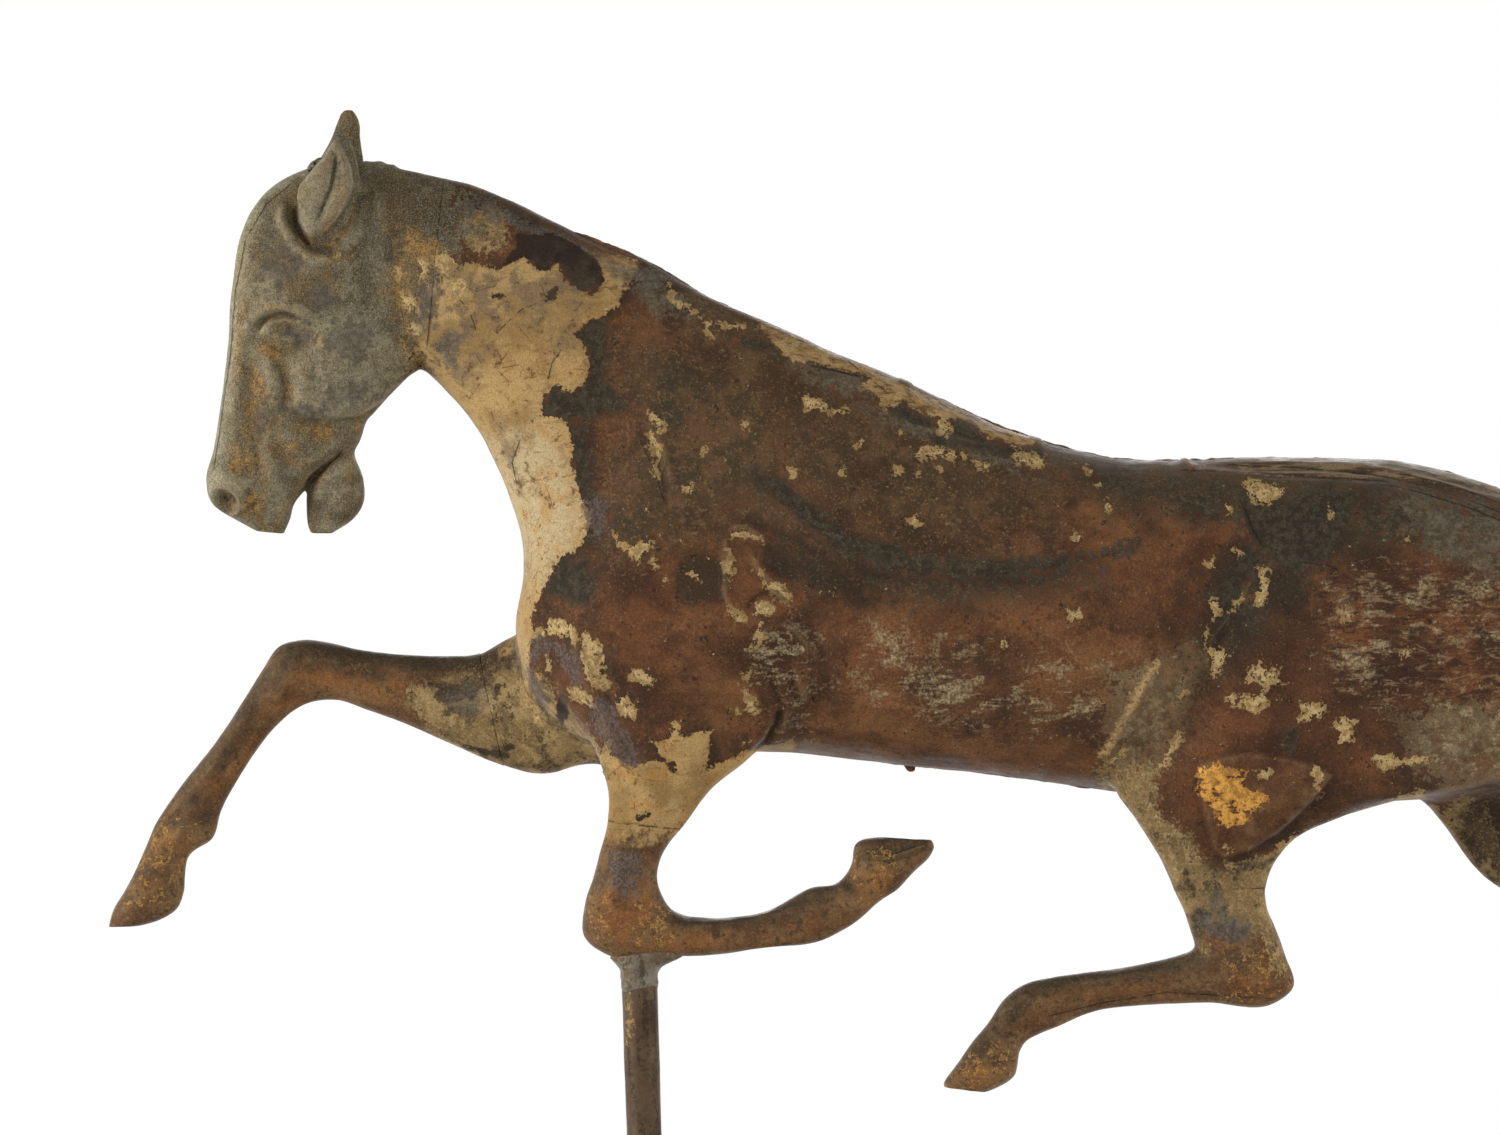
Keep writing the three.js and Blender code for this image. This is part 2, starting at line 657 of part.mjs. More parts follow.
function lowerBush() {
  const lipTop = TUBE_BOTTOM - SEAM_GAP;
  const bore = SPINDLE_RADIUS + RUNNING_GAP;
  const plug = TUBE_BORE - SEAM_GAP;
  return turned(
    [
      [bore, lipTop - BUSH_LIP],
      [TUBE_RADIUS, lipTop - BUSH_LIP],
      [TUBE_RADIUS, lipTop],
      [plug, lipTop],
      [plug, lipTop + BUSH_LENGTH],
      [bore, lipTop + BUSH_LENGTH],
      [bore, lipTop - BUSH_LIP],
    ],
    TUBE_SIDES,
  );
}
addPiece("lower_bush", lowerBush(), brass);

// The solder that fairs the tube into the knee.
function kneeFillet() {
  const root = KNEE_Z + FILLET_LENGTH;
  const bore = TUBE_RADIUS + SEAM_GAP;
  const rim = TUBE_RADIUS + SLEEVE_WALL;
  const curve = [];
  for (let i = 0; i <= FILLET_SIDES; i++) {
    const share = i / FILLET_SIDES;
    const spread = FILLET_SPREAD * (1 - Math.sqrt(1 - share * share));
    curve.push([rim + spread, KNEE_Z - FILLET_LENGTH + 2 * FILLET_LENGTH * share]);
  }
  const body = turned(
    [[bore, KNEE_Z - FILLET_LENGTH], ...curve, [bore, root], [bore, KNEE_Z - FILLET_LENGTH]],
    TUBE_SIDES,
  );
  const leg = outerLoft(legs[0].rings, LIMB_SIDES, LIMB_ROUNDNESS, SEAM_GAP);
  return body.subtract(leg);
}
addPiece("knee_solder", kneeFillet(), solder);

// Copper straps that tie the tube to both walls of the hollow it stands in: above, the body's and,
// below, the forearm's.
function tubeBrace(pixelY, hollow) {
  const level = atPixel(PLACES_PX_SHARE.tubeX, pixelY, 0).z;
  const slab = new THREE.BoxGeometry(BRACE_BREADTH, HALF_SPACE, BRACE_THICKNESS);
  slab.translate(0, 0, level);
  return hollow.intersect(solidFrom(slab)).subtract(tubeCut());
}

const forearmHollow = hollowLoft(legs[0].rings, LIMB_SIDES, LIMB_ROUNDNESS, SEAM_GAP);
addPiece("upper_tube_brace", tubeBrace(PLACES_PX_SHARE.upperBraceY, bodyHollow(SEAM_GAP)), copper);
addPiece("lower_tube_brace", tubeBrace(PLACES_PX_SHARE.lowerBraceY, forearmHollow), copper);

// What stays still: the flange, its fixings and the spindle.

function spindle() {
  const foot = SOCKET_FLOOR + SEAM_GAP;
  const tip = SPINDLE_TIP + CAP_LIP - CAP_LENGTH + SPINDLE_POINT_LENGTH - RUNNING_GAP;
  return turned(
    [
      [0, foot],
      [SPINDLE_RADIUS, foot],
      [SPINDLE_RADIUS, tip - SPINDLE_POINT_LENGTH],
      [SPINDLE_POINT_RADIUS, tip],
      [0, tip],
    ],
    TUBE_SIDES,
  );
}

function screwHoles(radius, bottom, top) {
  const holes = [];
  for (let i = 0; i < SCREW_COUNT; i++) {
    const hole = turned([[0, bottom], [radius, bottom], [radius, top], [0, top]], SCREW_SIDES);
    const { x, y } = screwPlace(i);
    holes.push(hole.translate([x, y, 0]));
  }
  return unionOf(holes);
}

function screwPlace(i) {
  const angle = (2 * Math.PI * (i + 0.5)) / SCREW_COUNT;
  return { x: SCREW_CIRCLE_RADIUS * Math.cos(angle), y: SCREW_CIRCLE_RADIUS * Math.sin(angle) };
}

const SET_SCREW_Z = FLANGE_THICKNESS + BOSS_HEIGHT / 2;

// A solid turned about Z, laid along -X at the height of the set screw.
function setScrewAlong(profile) {
  const outline = profile.map(([radius, height]) => new THREE.Vector2(radius, height));
  const geometry = new THREE.LatheGeometry(outline, TUBE_SIDES);
  geometry.rotateZ(Math.PI / 2);
  geometry.translate(0, 0, SET_SCREW_Z);
  return solidFrom(geometry);
}

function flange() {
  const body = turned(
    [
      [0, 0],
      [FLANGE_RADIUS, 0],
      [FLANGE_RADIUS, FLANGE_THICKNESS],
      [BOSS_RADIUS + BOSS_TAPER, FLANGE_THICKNESS],
      [BOSS_RADIUS, BOSS_TOP],
      [0, BOSS_TOP],
    ],
    FLANGE_SIDES,
  );
  const socket = SPINDLE_RADIUS + SEAM_GAP;
  const bore = turned(
    [[0, SOCKET_FLOOR], [socket, SOCKET_FLOOR], [socket, BOSS_TOP + OVERRUN], [0, BOSS_TOP + OVERRUN]],
    TUBE_SIDES,
  );
  const side = SET_SCREW_RADIUS + SEAM_GAP;
  const tapped = setScrewAlong([[0, 0], [side, 0], [side, FLANGE_RADIUS], [0, FLANGE_RADIUS]]);
  const holes = screwHoles(SCREW_SHANK_RADIUS + SEAM_GAP, -OVERRUN, FLANGE_THICKNESS + OVERRUN);
  return body.subtract(bore).subtract(tapped).subtract(holes);
}

function flangeScrew() {
  const seat = FLANGE_THICKNESS + SEAM_GAP;
  const crown = seat + SCREW_HEAD_HEIGHT;
  const end = seat - SCREW_LENGTH;
  const solid = turned(
    [
      [0, end],
      [SCREW_SHANK_RADIUS, end + SCREW_POINT_LENGTH],
      [SCREW_SHANK_RADIUS, seat],
      [SCREW_HEAD_RADIUS, seat],
      [SCREW_HEAD_RADIUS * Math.cos(Math.PI / 6), seat + SCREW_HEAD_HEIGHT * Math.sin(Math.PI / 4)],
      [SCREW_HEAD_RADIUS * Math.cos(Math.PI / 3), crown],
      [0, crown],
    ],
    SCREW_SIDES,
  );
  const slot = new THREE.BoxGeometry(4 * SCREW_HEAD_RADIUS, SCREW_SLOT_WIDTH, 2 * SCREW_SLOT_DEPTH);
  slot.translate(0, 0, crown);
  return solid.subtract(solidFrom(slot));
}

function setScrew() {
  const point = SPINDLE_RADIUS + SEAM_GAP;
  const face = BOSS_RADIUS + BOSS_TAPER + SEAM_GAP;
  const shank = setScrewAlong([[0, point], [SET_SCREW_RADIUS, point], [SET_SCREW_RADIUS, face], [0, face]]);
  const across = SET_SCREW_HEAD_RADIUS;
  const head = new THREE.CylinderGeometry(across, across, SET_SCREW_HEAD_LENGTH, HEX_SIDES);
  head.rotateZ(Math.PI / 2);
  head.translate(-face - SET_SCREW_HEAD_LENGTH / 2, 0, SET_SCREW_Z);
  return shank.add(solidFrom(head));
}

const mast = new THREE.Group();
mast.add(meshFrom("roof_flange", flange(), iron));
mast.add(meshFrom("spindle", spindle(), steel));
mast.add(meshFrom("spindle_set_screw", setScrew(), steel));
for (let i = 0; i < SCREW_COUNT; i++) {
  const { x, y } = screwPlace(i);
  const screw = meshFrom("flange_screw_" + (i + 1), flangeScrew(), steel);
  screw.position.set(x, y, 0);
  mast.add(screw);
}

const weathervane = new THREE.Group();
weathervane.add(horse, mast);

export default weathervane;
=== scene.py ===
# The weathered horse vane: its skins are lofted through rings that were read off the photograph,
# remeshed into one surface, modelled in relief, cut into its pieces and painted by drawn
# patches. Metres, +Z up, in the frame of the CAD model.
import json
import math

import bmesh
import bpy
import numpy as np
from mathutils import Matrix, Vector


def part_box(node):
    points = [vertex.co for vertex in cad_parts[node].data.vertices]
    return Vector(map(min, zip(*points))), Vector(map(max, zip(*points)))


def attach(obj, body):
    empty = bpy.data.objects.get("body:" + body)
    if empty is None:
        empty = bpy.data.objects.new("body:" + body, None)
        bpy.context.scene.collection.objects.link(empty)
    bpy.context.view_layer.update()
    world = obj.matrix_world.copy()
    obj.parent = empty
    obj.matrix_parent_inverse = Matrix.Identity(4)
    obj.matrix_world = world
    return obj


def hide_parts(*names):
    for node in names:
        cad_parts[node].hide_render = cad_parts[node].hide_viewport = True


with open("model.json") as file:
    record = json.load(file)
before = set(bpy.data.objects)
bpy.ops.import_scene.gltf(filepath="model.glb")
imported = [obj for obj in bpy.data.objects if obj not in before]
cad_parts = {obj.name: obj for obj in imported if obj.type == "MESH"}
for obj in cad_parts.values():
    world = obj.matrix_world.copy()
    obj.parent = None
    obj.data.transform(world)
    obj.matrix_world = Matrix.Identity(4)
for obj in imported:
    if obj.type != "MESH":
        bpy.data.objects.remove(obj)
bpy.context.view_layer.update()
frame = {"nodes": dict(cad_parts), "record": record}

METRE_MM = 1000
# The photograph's frame. Outlines and places on the horse are given in its pixels.
PHOTO_WIDTH_PX = 1500
PHOTO_HEIGHT_PX = 1135
CENTRE_PX = (PHOTO_WIDTH_PX / 2, PHOTO_HEIGHT_PX / 2)
TOE_PX = 111
TAIL_TIP_PX = 1992
TUBE_PX = (639.5, 972)  # the tube's axis just under the knee
TUBE_LEAN_SHARE = 0.0312
HORSE_LENGTH = 0.838
FILLET_LENGTH = 0.012  # of the solder, below the knee
PX = HORSE_LENGTH / (TAIL_TIP_PX - TOE_PX)  # one pixel at the horse's middle plane
LEAN = math.atan(TUBE_LEAN_SHARE)
KNEE_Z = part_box("knee_solder")[0].z + FILLET_LENGTH
MIDDLE_Y = (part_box("tail_near")[1].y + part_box("tail_far")[0].y) / 2
NEAR_LEG_Y = (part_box("near_foreleg_outer")[1].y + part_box("near_foreleg_inner")[0].y) / 2
FAR_LEG_Y = (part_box("far_foreleg_outer")[0].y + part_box("far_foreleg_inner")[1].y) / 2

BODY_HALF_WIDTH = 0.050
LEG_HALF_WIDTH = 0.025
TAIL_HALF_WIDTH = 0.011
EAR_HALF_WIDTH = 0.005
EAR_SPREAD = 0.011
SEAM_GAP = 0.0002
COPPER_WALL = 0.0008
ZINC_WALL = 0.0018

CAMERA_DISTANCE = 5.0
CAMERA_ELEVATION = math.radians(1.5)

# How each surface is remeshed: its voxel, and its rounds of smoothing.
BODY_MESHING = (0.0014, 10)
HEAD_MESHING = (0.0008, 8)
LEG_MESHING = (0.0010, 4)
TAIL_MESHING = (0.0010, 8)
SEAM_MESHING = (0.0007, 2)
RING_SIDES = 56
RING_STEPS = 7  # between two rings of a table
ROUNDNESS = 2.1  # exponent of a ring's outline, 2 for an ellipse
TRUNK_ROUNDNESS = 2.15


# Places and distances in the photograph.

SHORTEST_PX = 1e-12
FARTHEST_PX = 1e9


def at_pixel(x, y, side=MIDDLE_Y):
    """The place in the frame that the camera sees at a pixel, on the plane y = side."""
    beyond = side - MIDDLE_Y
    larger = 1 + beyond / CAMERA_DISTANCE
    x = CENTRE_PX[0] + (x - CENTRE_PX[0]) * larger
    y = CENTRE_PX[1] + (y - CENTRE_PX[1]) * larger + beyond * math.tan(CAMERA_ELEVATION) / PX
    right, down = x - TUBE_PX[0], y - TUBE_PX[1]
    return Vector((
        PX * (right * math.cos(LEAN) - down * math.sin(LEAN)),
        side,
        KNEE_Z - PX * (right * math.sin(LEAN) + down * math.cos(LEAN)),
    ))


def pixels_of(co):
    beyond = co[:, 1] - MIDDLE_Y
    across = co[:, 0] / PX
    up = (KNEE_Z - co[:, 2]) / PX
    x = across * math.cos(LEAN) + up * math.sin(LEAN) + TUBE_PX[0]
    y = up * math.cos(LEAN) - across * math.sin(LEAN) + TUBE_PX[1]
    y = y - beyond * math.tan(CAMERA_ELEVATION) / PX
    smaller = 1 / (1 + beyond / CAMERA_DISTANCE)
    return np.stack([
        CENTRE_PX[0] + (x - CENTRE_PX[0]) * smaller, CENTRE_PX[1] + (y - CENTRE_PX[1]) * smaller,
    ], axis=1)


def segment_distance(points, a, b):
    """Distance to the segment from a to b, and how far along it the nearest point is, 0 to 1."""
    along = b - a
    share = np.clip((points - a) @ along / max(along @ along, SHORTEST_PX), 0, 1)
    return np.linalg.norm(points - a - share[:, None] * along, axis=1), share


def polygon_distance(points, outline):
    """Distance in pixels to a closed outline, positive inside it."""
    corners = np.array(outline, float)
    nearest = np.full(len(points), FARTHEST_PX)
    inside = np.zeros(len(points), bool)
    for a, b in zip(corners, np.roll(corners, -1, axis=0)):
        nearest = np.minimum(nearest, segment_distance(points, a, b)[0])
        if a[1] != b[1]:
            crossing = (a[1] > points[:, 1]) != (b[1] > points[:, 1])
            x = a[0] + (points[:, 1] - a[1]) * (b[0] - a[0]) / (b[1] - a[1])
            inside ^= crossing & (points[:, 0] < x)
    return np.where(inside, nearest, -nearest)


# Drawn tables. Rows end in semicolons, like the points of an SVG polygon.

def rows(text):
    made = [row.replace(",", " ").split() for row in text.split(";")]
    return [[float(number) for number in row] for row in made if row]


def outlines(text):
    """Closed outlines, each a row of x,y pairs in pixels."""
    return [np.reshape(row, (-1, 2)) for row in rows(text)]


def strokes(text):
    """Each row: half the stroke's width in pixels, its height in millimetres, and its x,y path."""
    return [(np.reshape(row[2:], (-1, 2)), row[0], row[1] / METRE_MM) for row in rows(text)]


def lumps(text):
    """Each row: x, y, radius along, radius across, turn, and the height in millimetres."""
    return [(*row[:5], row[5] / METRE_MM) for row in rows(text)]


RING_NUMBERS = 6


def ring_table(text):
    """Each row: two edge points in pixels, half the ring's width as a share of its loft's, and how
    much wider it is towards its second edge point, as a share too, where it is wider there."""
    return [row + [0.0] * (RING_NUMBERS - len(row)) for row in rows(text)]


HEAD_RINGS = ring_table("""
    257 531 284 534 0.12; 238 520 290 519 0.2; 214 505 295 502 0.27; 207 482 318 478 0.31;
    214 448 356 448 0.31; 220 408 366 422 0.34; 227 352 373 414 0.38; 232 292 380 406 0.41;
    242 238 388 397 0.41; 264 196 397 388 0.39; 308 169 406 379 0.36; 372 166 415 373 0.35
""")
NECK_JOINT_RING = (445, 179, 425, 372, 0.35, 0.1)
BODY_RINGS = ring_table("""
    500 197 465 413 0.39 0.2; 570 229 494 459 0.46 0.25; 642 258 514 512 0.55 0.25;
    712 299 522 570 0.66 0.25; 778 328 514 632 0.78 0.22; 845 357 530 692 0.88 0.2;
    905 382 585 740 0.95 0.16; 965 410 680 752 0.97 0.12; 1035 438 790 752 1 0.08;
    1100 455 900 765 1 0.05; 1165 460 1010 777 0.98 0.03; 1235 458 1115 792 0.95;
    1310 458 1225 800 0.94; 1390 461 1330 803 0.95; 1460 475 1430 800 0.94; 1530 504 1520 786 0.87;
    1590 545 1590 752 0.7; 1628 592 1632 708 0.46; 1641 628 1643 672 0.22
""")
JAW_RINGS = ring_table("""
    322 432 357 428 0.2; 316 462 354 452 0.22; 308 486 363 478 0.2; 307 506 364 502 0.19;
    308 524 352 521 0.15; 311 533 332 534 0.08
""")
NEAR_FORELEG_RINGS = ring_table("""
    640 520 800 520 0.3; 590 600 800 600 0.75; 574 650 794 652 0.88; 574 700 788 706 0.88;
    592 752 752 756 0.74; 607 785 712 788 0.6; 607 826 680 829 0.5; 600 852 663 854 0.47;
    592 880 658 880 0.47; 584 906 665 900 0.5; 583 936 672 909 0.52; 610 957 684 915 0.5;
    662 958 700 917 0.42; 720 955 722 918 0.35; 772 947 770 911 0.31; 822 940 812 889 0.33;
    856 922 838 884 0.31; 882 900 853 864 0.31; 897 890 857 845 0.36; 914 872 880 839 0.36;
    928 857 908 837 0.27; 933 847 928 838 0.14
""")
FAR_FORELEG_RINGS = ring_table("""
    760 560 780 730 0.3; 680 585 700 770 0.6; 620 608 645 774 0.72; 560 622 585 764 0.72;
    512 635 545 775 0.66; 478 653 502 765 0.56; 438 655 458 747 0.48; 398 653 412 727 0.43;
    358 648 368 711 0.42; 324 641 336 701 0.43; 299 640 308 704 0.43; 279 646 293 712 0.42;
    262 670 281 722 0.38; 234 716 266 738 0.33; 204 758 238 780 0.3; 175 796 221 812 0.33;
    155 824 213 839 0.35; 143 850 190 857 0.31; 133 872 186 877 0.33; 122 893 184 894 0.37;
    113 908 176 910 0.37; 109 921 158 921 0.3; 108 928 142 926 0.22
""")
NEAR_HIND_LEG_RINGS = ring_table("""
    1200 600 1590 590 1.05; 1140 700 1606 690 1.06; 1110 776 1500 780 0.92; 1136 822 1362 812 0.74;
    1157 855 1287 848 0.6; 1174 888 1266 885 0.5; 1185 910 1266 907 0.45; 1192 931 1275 929 0.43;
    1196 947 1285 957 0.45; 1190 953 1294 985 0.45; 1180 956 1276 1003 0.42; 1160 961 1212 1003 0.37;
    1130 967 1140 1006 0.31; 1086 973 1092 1013 0.3; 1050 979 1058 1027 0.32; 1026 985 1040 1033 0.33;
    1006 1000 1026 1040 0.3; 990 1024 1018 1052 0.31; 972 1045 1016 1066 0.35; 957 1066 1013 1076 0.37;
    945 1082 1001 1085 0.31; 944 1088 985 1092 0.22
""")
FAR_HIND_LEG_RINGS = ring_table("""
    1300 660 1580 560 1.05; 1378 764 1638 630 0.98; 1432 811 1648 700 0.82; 1486 877 1652 765 0.64;
    1545 912 1670 815 0.52; 1597 938 1699 850 0.46; 1648 959 1737 868 0.46; 1692 974 1762 905 0.4;
    1738 991 1786 938 0.33; 1785 1011 1821 964 0.3; 1826 1034 1866 983 0.33; 1849 1052 1890 1012 0.31;
    1866 1070 1915 1034 0.35; 1886 1091 1938 1052 0.37; 1908 1109 1946 1080 0.3;
    1922 1116 1942 1101 0.2
""")
TAIL_RINGS = ring_table("""
    1575 552 1590 650 0.85; 1612 534 1630 610 0.9; 1662 520 1668 592 1; 1722 524 1712 612 1.05;
    1786 548 1762 642 1.05; 1850 586 1816 680 1; 1910 632 1876 712 0.85; 1960 684 1936 740 0.6;
    1992 732 1980 758 0.3
""")
NEAR_EAR_RINGS = ring_table("""
    300 250 352 252 1; 300 214 359 222 1.05; 308 186 360 190 0.95; 322 158 357 162 0.65;
    338 139 351 141 0.3
""")
FAR_EAR_RINGS = ring_table("""
    300 235 352 240 1; 305 190 363 196 1.05; 320 160 364 163 0.95; 332 137 361 138 0.8;
    338 121 360 122 0.65; 341 114 357 115 0.5; 345 110 353 110 0.3
""")

# The rings of each leg, which of them is its joint, counted from the first, and the leg's plane.
LEGS = {
    "near_foreleg": (NEAR_FORELEG_RINGS, 6, NEAR_LEG_Y),
    "far_foreleg": (FAR_FORELEG_RINGS, 5, FAR_LEG_Y),
    "near_hind_leg": (NEAR_HIND_LEG_RINGS, 5, NEAR_LEG_Y),
    "far_hind_leg": (FAR_HIND_LEG_RINGS, 4, FAR_LEG_Y),
}


# Lofts and meshes.

def smooth_rows(table):
    """The table's rows with a smooth curve through them, RING_STEPS rows for each gap."""
    rows = np.array(table, float)
    moves = np.diff(rows[:, :4], axis=0)
    gaps = (np.hypot(moves[:, 0], moves[:, 1]) + np.hypot(moves[:, 2], moves[:, 3])) / 2
    slopes = np.diff(rows, axis=0) / gaps[:, None]
    before, after = gaps[:-1, None], gaps[1:, None]
    inner = (slopes[:-1] * after + slopes[1:] * before) / (before + after)
    tangents = np.vstack([slopes[:1], inner, slopes[-1:]])
    made = []
    for i, gap in enumerate(gaps):
        for t in np.arange(RING_STEPS) / RING_STEPS:
            made.append(
                rows[i] * (2 * t**3 - 3 * t**2 + 1) + gap * tangents[i] * (t**3 - 2 * t**2 + t)
                + rows[i + 1] * (3 * t**2 - 2 * t**3) + gap * tangents[i + 1] * (t**3 - t**2)
            )
    made.append(rows[-1])
    return np.array(made)


def ring_points(row, half_width, side, roundness):
    front, back = at_pixel(row[0], row[1], side), at_pixel(row[2], row[3], side)
    middle, half = (front + back) / 2, (front - back) / 2
    points = []
    for i in range(RING_SIDES):
        angle = 2 * math.pi * i / RING_SIDES
        c, s = math.cos(angle), math.sin(angle)
        along = math.copysign(abs(c) ** (2 / roundness), c)
        across = math.copysign(abs(s) ** (2 / roundness), s) * (1 - row[5] * along)
        points.append(middle + half * along + Vector((0, half_width * row[4] * across, 0)))
    return points


def loft(rows, half_width, side, roundness=ROUNDNESS):
    """Vertices and faces of a closed loft."""
    points = [p for row in rows for p in ring_points(row, half_width, side, roundness)]
    faces = []
    for r in range(len(rows) - 1):
        for i in range(RING_SIDES):
            a, b = r * RING_SIDES + i, r * RING_SIDES + (i + 1) % RING_SIDES
            faces.append((a, b, b + RING_SIDES, a + RING_SIDES))
    last = (len(rows) - 1) * RING_SIDES
    faces.append(tuple(range(RING_SIDES))[::-1])
    faces.append(tuple(last + i for i in range(RING_SIDES)))
    return [tuple(p) for p in points], faces


def mesh_of(name, lofts):
    points, faces = [], []
    for loft_points, loft_faces in lofts:
        start = len(points)
        points += loft_points
        faces += [tuple(start + i for i in face) for face in loft_faces]
    mesh = bpy.data.meshes.new(name)
    mesh.from_pydata(points, [], faces)
    bm = bmesh.new()
    bm.from_mesh(mesh)
    bmesh.ops.recalc_face_normals(bm, faces=bm.faces)
    bm.to_mesh(mesh)
    bm.free()
    return mesh


def with_modifier(mesh, kind, **settings):
    """The mesh as one modifier makes it."""
    holder = bpy.data.objects.new("holder", mesh)
    bpy.context.scene.collection.objects.link(holder)
    modifier = holder.modifiers.new("made", kind)
    for key, value in settings.items():
        setattr(modifier, key, value)
    evaluated = holder.evaluated_get(bpy.context.evaluated_depsgraph_get())
    made = bpy.data.meshes.new_from_object(evaluated)
    bpy.data.objects.remove(holder)
    return made


def coordinates(mesh):
    co = np.zeros(len(mesh.vertices) * 3, np.float32)
    mesh.vertices.foreach_get("co", co)
    return co.reshape(-1, 3).astype(float)


def set_coordinates(mesh, co):
    mesh.vertices.foreach_set("co", co.astype(np.float32).ravel())
    mesh.update()


def normals(mesh):
    made = np.zeros(len(mesh.vertices) * 3, np.float32)
    mesh.vertex_normals.foreach_get("vector", made)
    return made.reshape(-1, 3).astype(float)


class Relaxer:
    """Moves each vertex towards the middle of its neighbours."""

    HALFWAY = 0.5
    BACK = -0.52

    def __init__(self, mesh):
        ends = np.zeros(len(mesh.edges) * 2, np.int64)
        mesh.edges.foreach_get("vertices", ends)
        self.a, self.b = ends.reshape(-1, 2).T
        self.count = len(mesh.vertices)
        self.valence = np.bincount(np.concatenate([self.a, self.b]), minlength=self.count)

    def mean(self, values):
        total = np.bincount(self.a, values[self.b], self.count)
        total += np.bincount(self.b, values[self.a], self.count)
        return total / np.maximum(self.valence, 1)

    def step(self, co, factor):
        pull = np.stack([self.mean(co[:, k]) for k in range(3)], axis=1) - co
        return co + pull * np.broadcast_to(factor, (self.count,))[:, None]

    def evened(self, co, rounds):
        """Smoothed without shrinking."""
        for _ in range(rounds):
            co = self.step(co, self.HALFWAY)
            co = self.step(co, self.BACK)
        return co


FILLET_FADE = 1.6  # the weight over a fillet's radius, clipped at 1
FILLET_WEIGHT = 0.8


def remeshed(name, lofts, meshing, fillets=()):
    """One surface around the lofts. A fillet is a pixel place, a side, a radius and its rounds."""
    voxel, rounds = meshing
    mesh = with_modifier(mesh_of(name, lofts), "REMESH", mode="VOXEL", voxel_size=voxel)
    relaxer = Relaxer(mesh)
    co = relaxer.evened(coordinates(mesh), rounds)
    for x, y, side, radius, fillet_rounds in fillets:
        reach = np.linalg.norm(co - np.array(at_pixel(x, y, side)), axis=1) / radius
        weight = np.clip(FILLET_FADE - FILLET_FADE * reach, 0, 1) * FILLET_WEIGHT
        for _ in range(fillet_rounds):
            co = relaxer.step(co, weight)
    set_coordinates(mesh, co)
    return mesh


CUT_MERGE = 1e-6


def cut(mesh, point, normal, local=None):
    """Removes what lies beyond a plane. With local, only within that distance of the point."""
    bm = bmesh.new()
    bm.from_mesh(mesh)
    point, normal = Vector(point), Vector(normal).normalized()
    near = [f for f in bm.faces if local is None or (f.calc_center_median() - point).length < local]
    geometry = list({e for f in near for e in (*f.verts, *f.edges)}) + near
    bmesh.ops.bisect_plane(bm, geom=geometry, dist=CUT_MERGE, plane_co=point, plane_no=normal)
    beyond = []
    for f in bm.faces:
        centre = f.calc_center_median() - point
        if centre.dot(normal) > 0 and (local is None or centre.length < local):
            beyond.append(f)
    bmesh.ops.delete(bm, geom=beyond, context="FACES")
    made = bpy.data.meshes.new(mesh.name)
    bm.to_mesh(made)
    bm.free()
    return made


# Relief: what the hammer and the mould raised or sank.

